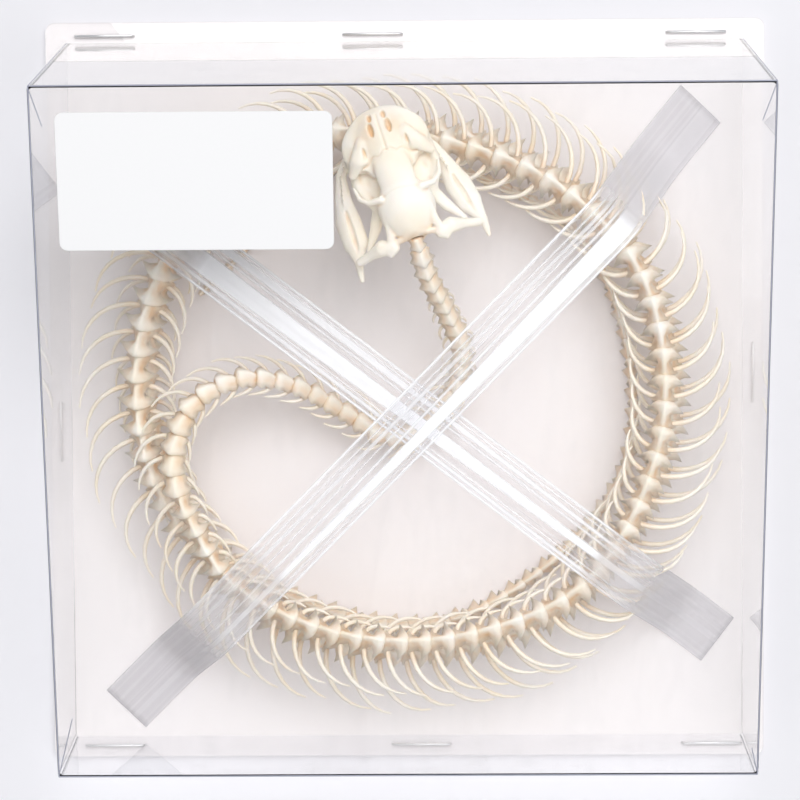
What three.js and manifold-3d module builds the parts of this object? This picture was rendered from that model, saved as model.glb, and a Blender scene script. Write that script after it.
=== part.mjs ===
// Coiled snake skeleton, strapped to a white card under a clear folded cover.
// Millimetres, +Z up. The card lies on the ground, its centre is the origin,
// and +Y points to the high end of the cover, where the skull lies.
import * as THREE from 'three';
import { mergeVertices } from 'three/addons/utils/BufferGeometryUtils.js';
import Module from 'manifold-3d';

const wasm = await Module();
wasm.setup();

// Clearance between pieces that touch
const GAP = 0.3;

// White card under the cover
const CARD_WIDTH = 157;
const CARD_LENGTH = 162;
const CARD_THICK = 2;
const CARD_CORNER = 2;

// Clear cover: upright sides, a sloping front sheet, end walls that lean towards the low end
const COVER_WIDTH = 148;
const COVER_LENGTH = 153;
const COVER_LOW = 25;
const COVER_HIGH = 52.7;
const COVER_LOW_LEAN = 3.7;
const COVER_HIGH_LEAN = 13.4;
const COVER_SHEET = 0.6;
const COVER_FLANGE = 4.4;

// Label on the sloping sheet
const LABEL_WIDTH = 55;
const LABEL_HEIGHT = 27.7;
const LABEL_THICK = 0.4;
const LABEL_CORNER = 1.6;
const LABEL_X = -41.3;
const LABEL_Y = 44.3;

// Film straps: width, thickness and height of the span above the card
const STRAP_WIDTH = 12;
const STRAP_THICK = 0.5;
const STRAP_SPAN_HEIGHT = 24;
const STRAP_LIFT = 0.9;

// Coil: centre of its turns on the card, and stations of the spine from head to tail
const COIL_X = -1.2;
const COIL_Y = 1.1;
// Neck stations: x, y, height, lean of the back away from upright in degrees
const NECK_STATIONS = [
  [3.1, 30.8, 33.4, 0],
  [4.9, 25.2, 28.8, 0],
  [8.6, 18.0, 21.5, 0],
  [11.8, 10.0, 15.0, 0],
  [10.6, 1.2, 10.0, 0],
  [4.6, -6.6, 7.2, 5],
  [-3.5, -9.6, 6.6, 15],
  [-12.1, -4.9, 8.4, 30],
  [-19.5, -0.3, 11.4, 38],
  [-26.9, 2.7, 14.4, 40],
  [-34.6, 3.4, 17.2, 38],
  [-41.6, 0.8, 19.0, 32],
];
// Coil stations: turn angle in degrees, radius, height, lean of the back in degrees
const COIL_STATIONS = [
  [186, 45.3, 19.5, 26],
  [198, 50.6, 19.5, 22],
  [212, 52.3, 19.3, 16],
  [230, 54.4, 19.0, 10],
  [258, 53.8, 19.0, 6],
  [286, 54.6, 19.0, 6],
  [315, 57.2, 19.0, 6],
  [350, 56.2, 19.0, 8],
  [383, 56.4, 19.0, 12],
  [411, 54.2, 19.0, 24],
  [440, 52.8, 18.8, 30],
  [470, 56.5, 17.0, 26],
  [495, 58.5, 15.0, 22],
  [515, 56.8, 13.6, 20],
  [535, 56.4, 12.4, 18],
  [556, 56.4, 11.3, 14],
  [575, 55.5, 10.8, 10],
  [600, 56.5, 10.8, 6],
  [630, 57.0, 10.8, 6],
  [665, 58.4, 10.8, 6],
  [710, 58.4, 10.8, 6],
  [750, 57.6, 10.8, 8],
  [790, 55.5, 10.6, 10],
  [825, 56.0, 9.2, 10],
  [855, 57.0, 7.4, 8],
  [885, 55.5, 5.6, 6],
  [915, 54.0, 4.3, 4],
  [950, 53.0, 3.4, 0],
  [1000, 52.5, 2.8, 0],
  [1060, 52.0, 2.3, 0],
  [1120, 51.0, 1.9, 0],
  [1180, 49.5, 1.6, 0],
  [1235, 48.5, 1.3, 0],
];

// Sizes along the spine: distance from the skull, then the value there
const VERTEBRA_HALF_WIDTH = [
  [0, 1.8],
  [60, 2.5],
  [180, 3.7],
  [420, 4.2],
  [700, 4],
  [790, 3],
  [860, 2.3],
  [1000, 1.4],
  [1160, 0.6],
];
const VERTEBRA_PITCH = [
  [0, 7],
  [150, 9.5],
  [300, 11.5],
  [760, 11],
  [860, 9.5],
  [1160, 7.5],
];
const RIB_REACH = [
  [0, 0],
  [12, 3],
  [60, 6],
  [150, 9.5],
  [250, 11.5],
  [440, 12],
  [700, 11.5],
  [800, 8],
  [850, 5],
];
const NECK_END = 120;
const TRUNK_END = 850;

// Ribs: thickness at root and tip, how far they sweep to the tail and droop as shares of their reach,
// and the turn from root to tip in radians
const RIB_ROOT_RADIUS = 0.62;
const RIB_TIP_RADIUS = 0.3;
const RIB_SWEEP = 0.95;
const RIB_BEND = 1.45;
const RIB_DROOP = 0.2;
const RIB_SHORTEST = 0.3;
const RIB_STEPS = [0, 0.33, 0.66, 1];
const RIB_SIDES = 3;

// A turn of the coil keeps its ribs inside this band about its own height
const BAND_BELOW = 2.5;
const BAND_ABOVE = 1.6;

// Each node of the spine has about this many vertebrae
const VERTEBRAE_PER_NODE = { neck: 9, trunk: 7, tail: 14 };

// Skull: place of the back of the skull, its heading in the plan, its roll and pitch in degrees
const SKULL_X = 2.4;
const SKULL_Y = 34.1;
const SKULL_HEIGHT = 34;
const SKULL_HEADING = 18.3;
const SKULL_ROLL = -4;
const SKULL_PITCH = -4;

const BONE_COLOUR = 0xf4e8d2;

// Geometry helpers

function smoothSolid(geometry) {
  const bare = geometry.index ? geometry.toNonIndexed() : geometry.clone();
  bare.deleteAttribute('normal');
  bare.deleteAttribute('uv');
  const merged = mergeVertices(bare, 1e-5);
  return new wasm.Manifold(
    new wasm.Mesh({
      numProp: 3,
      vertProperties: new Float32Array(merged.attributes.position.array),
      triVerts: new Uint32Array(merged.index.array),
    })
  );
}

function largestPiece(solid) {
  const pieces = solid.decompose();
  pieces.sort((a, b) => b.volume() - a.volume());
  return pieces[0];
}

function geometryOf(solid) {
  const mesh = solid.getMesh();
  const geometry = new THREE.BufferGeometry();
  const count = mesh.vertProperties.length / mesh.numProp;
  const positions = new Float32Array(count * 3);
  for (let i = 0; i < count; i++) {
    for (let k = 0; k < 3; k++) {
      positions[i * 3 + k] = mesh.vertProperties[i * mesh.numProp + k];
    }
  }
  geometry.setAttribute('position', new THREE.BufferAttribute(positions, 3));
  geometry.setIndex(new THREE.BufferAttribute(new Uint32Array(mesh.triVerts), 1));
  geometry.computeVertexNormals();
  return geometry;
}

function union(solids) {
  return wasm.Manifold.union(solids);
}

function signedVolume(positions, index) {
  let total = 0;
  const a = new THREE.Vector3();
  const b = new THREE.Vector3();
  const c = new THREE.Vector3();
  for (let i = 0; i < index.length; i += 3) {
    a.fromArray(positions, index[i] * 3);
    b.fromArray(positions, index[i + 1] * 3);
    c.fromArray(positions, index[i + 2] * 3);
    total += a.dot(b.cross(c));
  }
  return total;
}

// Closed skin through rings of equally many points, with flat ends and faces out
function loft(rings) {
  const sides = rings[0].length;
  const positions = rings.flat().flatMap((point) => point.toArray());
  const index = [];
  for (let r = 0; r + 1 < rings.length; r++) {
    for (let k = 0; k < sides; k++) {
      const here = r * sides + k;
      const beside = r * sides + ((k + 1) % sides);
      index.push(here, beside, here + sides);
      index.push(beside, beside + sides, here + sides);
    }
  }
  const last = (rings.length - 1) * sides;
  for (let k = 1; k + 1 < sides; k++) {
    index.push(0, k + 1, k);
    index.push(last, last + k, last + k + 1);
  }
  if (signedVolume(positions, index) < 0) {
    for (let i = 0; i < index.length; i += 3) {
      [index[i + 1], index[i + 2]] = [index[i + 2], index[i + 1]];
    }
  }
  const geometry = new THREE.BufferGeometry();
  geometry.setAttribute('position', new THREE.Float32BufferAttribute(positions, 3));
  geometry.setIndex(index);
  return geometry;
}

// Tube with its own radius at each point of a path
function taperedTube(points, radii, sides) {
  const rings = [];
  let across = new THREE.Vector3(0.31, 0.17, 0.93);
  for (let i = 0; i < points.length; i++) {
    const before = points[Math.max(i - 1, 0)];
    const after = points[Math.min(i + 1, points.length - 1)];
    const along = after.clone().sub(before).normalize();
    across = across.clone().addScaledVector(along, -across.dot(along)).normalize();
    const third = along.clone().cross(across);
    const ring = [];
    for (let k = 0; k < sides; k++) {
      const turn = (2 * Math.PI * k) / sides;
      const point = points[i].clone();
      point.addScaledVector(across, radii[i] * Math.cos(turn));
      point.addScaledVector(third, radii[i] * Math.sin(turn));
      ring.push(point);
    }
    rings.push(ring);
  }
  return loft(rings);
}

function lookUp(table, distance) {
  if (distance <= table[0][0]) {
    return table[0][1];
  }
  for (let i = 0; i + 1 < table.length; i++) {
    const [d0, v0] = table[i];
    const [d1, v1] = table[i + 1];
    if (distance <= d1) {
      return v0 + ((v1 - v0) * (distance - d0)) / (d1 - d0);
    }
  }
  return table[table.length - 1][1];
}

function roundedRectangle(width, height, radius) {
  const x = width / 2;
  const y = height / 2;
  const shape = new THREE.Shape();
  shape.moveTo(-x + radius, -y);
  shape.lineTo(x - radius, -y);
  shape.absarc(x - radius, -y + radius, radius, -Math.PI / 2, 0, false);
  shape.lineTo(x, y - radius);
  shape.absarc(x - radius, y - radius, radius, 0, Math.PI / 2, false);
  shape.lineTo(-x + radius, y);
  shape.absarc(-x + radius, y - radius, radius, Math.PI / 2, Math.PI, false);
  shape.lineTo(-x, -y + radius);
  shape.absarc(-x + radius, -y + radius, radius, Math.PI, 1.5 * Math.PI, false);
  return shape;
}

function plate(width, height, radius, thick) {
  const shape = roundedRectangle(width, height, radius);
  return new THREE.ExtrudeGeometry(shape, { depth: thick, bevelEnabled: false, curveSegments: 4 });
}

const model = new THREE.Group();

function addPart(parent, name, geometry, colour, roughness) {
  const material = new THREE.MeshStandardMaterial({ color: colour, roughness, metalness: 0 });
  const mesh = new THREE.Mesh(geometry, material);
  mesh.name = name;
  parent.add(mesh);
  return mesh;
}

// Card and cover

addPart(model, 'card', plate(CARD_WIDTH, CARD_LENGTH, CARD_CORNER, CARD_THICK), 0xf3eeec, 0.8);

// Everything else is measured from the top of the card
const onCard = new THREE.Group();
onCard.position.z = CARD_THICK;
model.add(onCard);

const COVER_SLOPE = Math.atan2(
  COVER_HIGH - COVER_LOW,
  COVER_LENGTH - COVER_HIGH_LEAN + COVER_LOW_LEAN
);

// Block between the card and the sloping sheet, drawn in by an inset on every side
function coverBlock(inset, bottom) {
  const x = COVER_WIDTH / 2 - inset;
  const low = -COVER_LENGTH / 2 + inset;
  const high = COVER_LENGTH / 2 - inset;
  const corner = (side, y, z) => new THREE.Vector3(side * x, y, z);
  const outline = (side) => [
    corner(side, low, bottom),
    corner(side, high, bottom),
    corner(side, high - COVER_HIGH_LEAN, COVER_HIGH - inset),
    corner(side, low - COVER_LOW_LEAN, COVER_LOW - inset),
  ];
  return loft([outline(-1), outline(1)]);
}

const flange = plate(
  COVER_WIDTH + 2 * COVER_FLANGE,
  COVER_LENGTH + 2 * COVER_FLANGE,
  CARD_CORNER,
  COVER_SHEET
);
flange.translate(0, 0, GAP);
const coverSkin = union([smoothSolid(coverBlock(0, GAP)), smoothSolid(flange)]);
const cover = coverSkin.subtract(smoothSolid(coverBlock(COVER_SHEET, GAP - 1)));
addPart(onCard, 'cover', geometryOf(cover), 0xf4f6fa, 0.1);

function slopeHeight(y) {
  return COVER_LOW + (y + COVER_LENGTH / 2 + COVER_LOW_LEAN) * Math.tan(COVER_SLOPE);
}

const label = addPart(
  onCard,
  'label',
  plate(LABEL_WIDTH, LABEL_HEIGHT, LABEL_CORNER, LABEL_THICK),
  0xffffff,
  0.6
);
label.rotation.x = COVER_SLOPE;
label.position.set(LABEL_X, LABEL_Y, slopeHeight(LABEL_Y) + GAP / Math.cos(COVER_SLOPE));

// Straps

const strapOnCard = GAP + STRAP_THICK / 2;

// A strap runs in the plan through: loose end, crease on the card, outer edge of the coil, and the same
// in reverse at its other end
const STRAPS = [
  {
    name: 'strap_rising',
    span: STRAP_SPAN_HEIGHT + STRAP_LIFT,
    plan: [[-62.5, -70.1], [-51.3, -58.9], [-42, -49.6], [43.6, 37], [55, 50.7], [64.6, 62.4]],
  },
  {
    name: 'strap_falling',
    span: STRAP_SPAN_HEIGHT,
    plan: [[-68.4, 49], [-61.5, 44.1], [-52, 37.2], [48.5, -39.6], [60.2, -48.9], [68.3, -55.2]],
  },
];

function strapPath(strap) {
  const heights = [strapOnCard, strapOnCard, strap.span, strap.span, strapOnCard, strapOnCard];
  return strap.plan.map(([x, y], i) => new THREE.Vector3(x, y, heights[i]));
}

function strapGeometry(strap) {
  const path = strapPath(strap);
  const along = path[path.length - 1].clone().sub(path[0]).setZ(0).normalize();
  const across = new THREE.Vector3(-along.y, along.x, 0).multiplyScalar(STRAP_WIDTH / 2);
  const rings = path.map((point, i) => {
    const before = path[Math.max(i - 1, 0)];
    const after = path[Math.min(i + 1, path.length - 1)];
    const inDirection = point.clone().sub(before).normalize();
    const outDirection = after.clone().sub(point).normalize();
    const tangent = inDirection.add(outDirection).normalize();
    const normal = tangent.clone().cross(across).normalize().multiplyScalar(STRAP_THICK / 2);
    return [
      point.clone().add(across).add(normal),
      point.clone().sub(across).add(normal),
      point.clone().sub(across).sub(normal),
      point.clone().add(across).sub(normal),
    ];
  });
  return loft(rings);
}

for (const strap of STRAPS) {
  addPart(onCard, strap.name, strapGeometry(strap), 0xf8fafc, 0.15);
}

// Height of the underside of the straps over a place, or of the sloping sheet where there is none
function ceilingOver(point, margin) {
  let ceiling = slopeHeight(point.y) - COVER_SHEET;
  for (const strap of STRAPS) {
    const path = strapPath(strap);
    for (let i = 0; i + 1 < path.length; i++) {
      const a = path[i];
      const b = path[i + 1];
      const length = Math.hypot(b.x - a.x, b.y - a.y);
      const ux = (b.x - a.x) / length;
      const uy = (b.y - a.y) / length;
      const along = (point.x - a.x) * ux + (point.y - a.y) * uy;
      const off = Math.abs((point.x - a.x) * uy - (point.y - a.y) * ux);
      if (along > -margin && along < length + margin && off < STRAP_WIDTH / 2 + margin) {
        const height = a.z + ((b.z - a.z) * THREE.MathUtils.clamp(along, 0, length)) / length;
        const steepness = Math.hypot(b.z - a.z, length) / length;
        ceiling = Math.min(ceiling, height - (STRAP_THICK / 2 + margin) * steepness);
      }
    }
  }
  return ceiling;
}

// Spine

const stations = NECK_STATIONS.map(([x, y, z, lean]) => ({ point: new THREE.Vector3(x, y, z), lean }));
for (const [angle, radius, height, lean] of COIL_STATIONS) {
  const turn = THREE.MathUtils.degToRad(angle);
  const x = COIL_X + radius * Math.cos(turn);
  const y = COIL_Y + radius * Math.sin(turn);
  stations.push({ point: new THREE.Vector3(x, y, height), lean });
}
const spine = new THREE.CatmullRomCurve3(stations.map((s) => s.point), false, 'centripetal');
spine.arcLengthDivisions = 3000;
const SPINE_LENGTH = spine.getLength();

// Place on the spine: tail is the way along it, back the way the crests point, side the animal's flank
function placeAt(distance) {
  const share = THREE.MathUtils.clamp(distance / SPINE_LENGTH, 0, 1);
  const point = spine.getPointAt(share);
  const tail = spine.getTangentAt(share).normalize();
  const along = spine.getUtoTmapping(share) * (stations.length - 1);
  const i = Math.min(Math.floor(along), stations.length - 2);
  const lean = THREE.MathUtils.lerp(stations[i].lean, stations[i + 1].lean, along - i);
  const turn = THREE.MathUtils.degToRad(lean);
  const outward = new THREE.Vector3(tail.y, -tail.x, 0).normalize();
  const back = new THREE.Vector3(0, 0, Math.cos(turn)).addScaledVector(outward, Math.sin(turn));
  back.addScaledVector(tail, -back.dot(tail)).normalize();
  const side = tail.clone().cross(back);
  return { point, tail, back, side };
}

function pointFrom(place, sideways, up, tailward = 0) {
  return place.point
    .clone()
    .addScaledVector(place.side, sideways)
    .addScaledVector(place.back, up)
    .addScaledVector(place.tail, tailward);
}

// Outline of a vertebra across the spine: wing is the reach of its joint facets, crest its height,
// both as shares of its half width
function vertebraRing(distance, wing, crest) {
  const place = placeAt(distance);
  const w = lookUp(VERTEBRA_HALF_WIDTH, distance);
  const half = [
    [0.4, -0.28],
    [wing, 0.1],
    [0.28, 0.46],
  ];
  const ring = [pointFrom(place, 0, -0.5 * w)];
  for (const [sideways, up] of half) {
    ring.push(pointFrom(place, sideways * w, up * w));
  }
  ring.push(pointFrom(place, 0, crest * w));
  for (const [sideways, up] of half.slice().reverse()) {
    ring.push(pointFrom(place, -sideways * w, up * w));
  }
  return ring;
}

// Shares of a vertebra's length, with the wing and crest there
const VERTEBRA_RINGS = [
  [0.02, 0.46, 0.52],
  [0.3, 1, 0.62],
  [0.74, 0.66, 1.02],
];
const JOINT_WING = 0.46;
const JOINT_CREST = 0.52;
const RIB_PLACE = 0.3;

function ribPath(distance, flank, reach, inBand) {
  const place = placeAt(distance);
  const w = lookUp(VERTEBRA_HALF_WIDTH, distance);
  const rootSide = 0.18 * w;
  return RIB_STEPS.map((step) => {
    const sideways = rootSide + ((reach - rootSide) * Math.sin(step * RIB_BEND)) / Math.sin(RIB_BEND);
    const tailward = RIB_SWEEP * reach * step ** 1.7;
    const droop = RIB_DROOP * reach * step ** 2;
    const point = pointFrom(place, flank * sideways, -droop, tailward);
    if (inBand && step > 0) {
      const height = place.point.z;
      point.z = THREE.MathUtils.clamp(point.z, height - BAND_BELOW, height + BAND_ABOVE);
    }
    point.z = Math.max(point.z, GAP + RIB_ROOT_RADIUS);
    return point;
  });
}

// Whether a rib stays below straps and cover, tried at several places between its points
function ribIsClear(path) {
  for (let i = 0; i + 1 < path.length; i++) {
    for (const share of [0, 0.25, 0.5, 0.75, 1]) {
      const point = path[i].clone().lerp(path[i + 1], share);
      if (point.z > ceilingOver(point, GAP + RIB_ROOT_RADIUS)) {
        return false;
      }
    }
  }
  return true;
}

// A rib is shortened where it would pass through a strap
function rib(distance, flank, inBand) {
  const full = lookUp(RIB_REACH, distance);
  const least = lookUp(VERTEBRA_HALF_WIDTH, distance) * 1.1;
  for (let share = 1; share >= RIB_SHORTEST; share -= 0.1) {
    const reach = full * share;
    const path = ribPath(distance, flank, reach, inBand);
    if (reach > least && ribIsClear(path)) {
      const radii = RIB_STEPS.map((step) => THREE.MathUtils.lerp(RIB_ROOT_RADIUS, RIB_TIP_RADIUS, step));
      return smoothSolid(taperedTube(path, radii, RIB_SIDES));
    }
  }
  return null;
}

function listVertebrae() {
  const list = [];
  let start = 0;
  while (start < SPINE_LENGTH - 4) {
    const pitch = lookUp(VERTEBRA_PITCH, start);
    const end = Math.min(start + pitch, SPINE_LENGTH);
    const region = start < NECK_END ? 'neck' : start < TRUNK_END ? 'trunk' : 'tail';
    list.push({ start, end, region });
    start = end;
  }
  return list;
}

function spineLength(vertebrae) {
  const rings = [];
  const ribs = [];
  vertebrae.forEach((vertebra, i) => {
    const length = vertebra.end - vertebra.start;
    VERTEBRA_RINGS.forEach(([share, wing, crest], k) => {
      const offset = i === 0 && k === 0 ? GAP / 2 : share * length;
      rings.push(vertebraRing(vertebra.start + offset, wing, crest));
    });
    if (vertebra.region !== 'tail') {
      for (const flank of [-1, 1]) {
        const inBand = vertebra.region === 'trunk';
        const solid = rib(vertebra.start + RIB_PLACE * length, flank, inBand);
        if (solid) {
          ribs.push(solid);
        }
      }
    }
  });
  const last = vertebrae[vertebrae.length - 1];
  rings.push(vertebraRing(last.end - GAP / 2, JOINT_WING, JOINT_CREST));
  return largestPiece(union([smoothSolid(loft(rings)), ...ribs]));
}

const vertebrae = listVertebrae();
for (const region of ['neck', 'trunk', 'tail']) {
  const own = vertebrae.filter((vertebra) => vertebra.region === region);
  const nodes = Math.ceil(own.length / VERTEBRAE_PER_NODE[region]);
  for (let n = 0; n < nodes; n++) {
    const from = Math.round((n * own.length) / nodes);
    const to = Math.round(((n + 1) * own.length) / nodes);
    const geometry = geometryOf(spineLength(own.slice(from, to)));
    addPart(onCard, `${region}_${n + 1}`, geometry, BONE_COLOUR, 0.55);
  }
}

// Skull: forward is +Y, right is +X and up is +Z from the back of the skull

const skullGroup = new THREE.Group();
skullGroup.position.set(SKULL_X, SKULL_Y, SKULL_HEIGHT);
skullGroup.rotation.order = 'ZXY';
skullGroup.rotation.set(
  THREE.MathUtils.degToRad(SKULL_PITCH),
  THREE.MathUtils.degToRad(SKULL_ROLL),
  THREE.MathUtils.degToRad(SKULL_HEADING)
);
onCard.add(skullGroup);

function egg(forward, right, up, halfLength, halfWidth, halfHeight, segments = 10) {
  const geometry = new THREE.SphereGeometry(1, segments, Math.round(segments * 0.6));
  geometry.rotateX(Math.PI / 2);
  geometry.scale(halfWidth, halfLength, halfHeight);
  geometry.translate(right, forward, up);
  return smoothSolid(geometry);
}

// Bar of bone through points given as forward, right, up and radius
function bar(points, sides = 5, steps = 2) {
  const curve = new THREE.CatmullRomCurve3(points.map(([f, r, u]) => new THREE.Vector3(r, f, u)));
  const count = (points.length - 1) * steps;
  const path = [];
  const radii = [];
  for (let i = 0; i <= count; i++) {
    const share = i / count;
    path.push(curve.getPoint(share));
    const along = share * (points.length - 1);
    const k = Math.min(Math.floor(along), points.length - 2);
    radii.push(THREE.MathUtils.lerp(points[k][3], points[k + 1][3], along - k));
  }
  return smoothSolid(taperedTube(path, radii, sides));
}

const TOOTH_LENGTH = 1.3;
const TOOTH_RADIUS = 0.42;

// Row of backward-leaning teeth along a straight run of bone
function toothRow(from, to, count, pointing) {
  const teeth = [];
  for (let i = 0; i < count; i++) {
    const share = (i + 0.5) / count;
    const forward = THREE.MathUtils.lerp(from[0], to[0], share);
    const right = THREE.MathUtils.lerp(from[1], to[1], share);
    const up = THREE.MathUtils.lerp(from[2], to[2], share);
    const root = new THREE.Vector3(right, forward, up);
    const tip = new THREE.Vector3(right, forward - 0.4 * TOOTH_LENGTH, up + pointing * TOOTH_LENGTH);
    teeth.push(smoothSolid(taperedTube([root, tip], [TOOTH_RADIUS, 0.1], 3)));
  }
  return teeth;
}

// Rounded blocks along the middle of the skull: forward, up, half length, half width, half height
const BRAINCASE = [5.6, 0.6, 6.6, 5.5, 4];
const FRONTALS = [13, 1.2, 6, 4, 2.6];
const NASALS = [20.2, 0.7, 5.6, 5.6, 2.7];
const PREMAXILLA = [24.6, -0.5, 2.6, 4.4, 1.9];
const CONDYLE = [-0.4, -0.4, 1.6, 2.1, 1.8];

// Paired bones of the right side: forward, right, up and radius along each
const PAIRED_BONES = [
  // maxilla
  [[26, 2.4, -1.4, 0.9], [23.6, 6, -1.7, 1.1], [18.5, 8.2, -1.9, 1.1], [12.6, 8.6, -2.2, 0.7]],
  // palatine and pterygoid
  [[22.5, 2.4, -1.6, 0.7], [14, 4.6, -2.8, 0.8], [5.5, 6.6, -2.9, 1.1], [-0.2, 10.7, -3, 0.6]],
  // cross bone from maxilla to pterygoid
  [[13.4, 8.4, -2.2, 0.7], [7.6, 6.2, -2.8, 0.7]],
  // bar behind the eye
  [[8.6, 4.6, 2, 0.7], [8.8, 7.4, 1.1, 0.6], [12.2, 9, 0, 0.45]],
  // prefrontal in front of the eye
  [[18.6, 4.2, 1.8, 1.3], [17.6, 6.6, 0.6, 1.1], [17, 8, -1.6, 0.7]],
  // supratemporal
  [[5, 4, 2, 0.8], [0, 4.6, 1.2, 0.9], [-2.4, 6, 0.7, 0.8]],
  // quadrate, out to the joint of the jaw
  [[-1.4, 5, 1, 0.9], [-0.8, 7.4, 0.4, 0.8], [-1.6, 10.7, -1, 0.7], [-2, 12.9, -2.2, 0.9]],
];

// Teeth of the upper jaw, and nostrils
const UPPER_TOOTH_FRONT = [23.8, 5.6, -2];
const UPPER_TOOTH_BACK = [13, 8.4, -2.3];
const TEETH_PER_ROW = 6;
const NOSTRIL = { forward: 22.6, right: 2, up: 2.8, halfLength: 1.8, halfWidth: 0.95, halfHeight: 1.5 };

// Lower jaws: forward, right, up and radius from behind the joint to the tip, and the ends of the tooth row
const MANDIBLES = [
  {
    name: 'mandible_right',
    points: [
      [-4.6, 14, -4.8, 0.6],
      [-1.6, 13.9, -4.7, 1],
      [4, 12.6, -5, 1.5],
      [10, 11, -5.2, 1.3],
      [16, 9, -5.4, 1],
      [23.5, 4.6, -5.2, 0.7],
    ],
    toothFront: [22.5, 5.2, -5],
    toothBack: [13.5, 9.8, -5.1],
  },
  {
    name: 'mandible_left',
    points: [
      [-5.4, -14, -4.8, 0.6],
      [-1.6, -13.4, -4.7, 1],
      [5, -13.6, -5, 1.5],
      [11, -12.8, -5.2, 1.3],
      [16.5, -11.4, -5.4, 1],
      [23.5, -6, -5.2, 0.7],
    ],
    toothFront: [22.5, -6.7, -5],
    toothBack: [13.5, -12.1, -5.1],
  },
];
const LOWER_TOOTH_RISE = 0.8;

function onFlank(points, flank) {
  return points.map(([forward, right, ...rest]) => [forward, right * flank, ...rest]);
}

function buildSkull() {
  const bones = [BRAINCASE, FRONTALS, NASALS, PREMAXILLA, CONDYLE].map(
    ([forward, up, ...halves]) => egg(forward, 0, up, ...halves)
  );
  for (const flank of [-1, 1]) {
    for (const points of PAIRED_BONES) {
      bones.push(bar(onFlank(points, flank)));
    }
    const [front, back] = onFlank([UPPER_TOOTH_FRONT, UPPER_TOOTH_BACK], flank);
    bones.push(...toothRow(front, back, TEETH_PER_ROW, -1));
  }
  let skull = union(bones);
  for (const flank of [-1, 1]) {
    const { forward, right, up, halfLength, halfWidth, halfHeight } = NOSTRIL;
    skull = skull.subtract(egg(forward, right * flank, up, halfLength, halfWidth, halfHeight, 8));
  }
  return largestPiece(skull);
}

function buildMandible({ points, toothFront, toothBack }) {
  const teeth = toothRow(toothFront, toothBack, TEETH_PER_ROW, LOWER_TOOTH_RISE);
  return largestPiece(union([bar(points, 6, 3), ...teeth]));
}

addPart(skullGroup, 'skull', geometryOf(buildSkull()), BONE_COLOUR, 0.5);
for (const mandible of MANDIBLES) {
  addPart(skullGroup, mandible.name, geometryOf(buildMandible(mandible)), BONE_COLOUR, 0.5);
}

export default model;
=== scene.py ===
"""Coiled snake skeleton under a clear folded cover: bones, straps, card and stage."""
import math

import bpy
import numpy as np
from bpy.props import FloatProperty, FloatVectorProperty, IntProperty, PointerProperty
from mathutils import Matrix, Vector


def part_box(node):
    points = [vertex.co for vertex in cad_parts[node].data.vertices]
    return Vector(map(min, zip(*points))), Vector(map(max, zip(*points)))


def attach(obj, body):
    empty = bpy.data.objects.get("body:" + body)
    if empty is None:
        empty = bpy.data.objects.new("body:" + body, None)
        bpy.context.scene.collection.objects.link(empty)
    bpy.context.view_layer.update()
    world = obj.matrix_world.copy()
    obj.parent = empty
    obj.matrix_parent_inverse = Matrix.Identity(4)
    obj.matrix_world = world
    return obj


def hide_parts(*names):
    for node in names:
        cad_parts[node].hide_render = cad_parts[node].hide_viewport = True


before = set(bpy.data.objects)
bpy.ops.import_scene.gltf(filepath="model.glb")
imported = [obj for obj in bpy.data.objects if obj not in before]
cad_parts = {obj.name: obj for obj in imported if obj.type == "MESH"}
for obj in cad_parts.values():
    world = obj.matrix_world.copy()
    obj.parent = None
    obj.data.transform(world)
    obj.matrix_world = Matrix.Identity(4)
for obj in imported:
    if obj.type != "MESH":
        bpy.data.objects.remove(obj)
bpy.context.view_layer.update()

bl_info = {
    "name": "Coiled Snake Skeleton",
    "version": (1, 0, 0),
    "blender": (4, 5, 0),
    "location": "3D View > Sidebar > Snake",
    "description": "Skeleton of a coiled snake, strapped to a card under a clear folded cover",
    "category": "Add Mesh",
}

MM = 0.001
CARD_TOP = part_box("card")[1].z / MM
BODY = "root"

# Route of the spine, in millimetres from the middle of the card's top: x, y, height, lean in degrees
NECK_STATIONS = [
    (3.1, 30.8, 33.4, 0),
    (4.9, 25.2, 28.8, 0),
    (8.6, 18.0, 21.5, 0),
    (11.8, 10.0, 15.0, 0),
    (10.6, 1.2, 10.0, 0),
    (4.6, -6.6, 7.2, 5),
    (-3.5, -9.6, 6.6, 15),
    (-12.1, -4.9, 8.4, 30),
    (-19.5, -0.3, 11.4, 38),
    (-26.9, 2.7, 14.4, 40),
    (-34.6, 3.4, 17.2, 38),
    (-41.6, 0.8, 19.0, 32),
]
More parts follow.
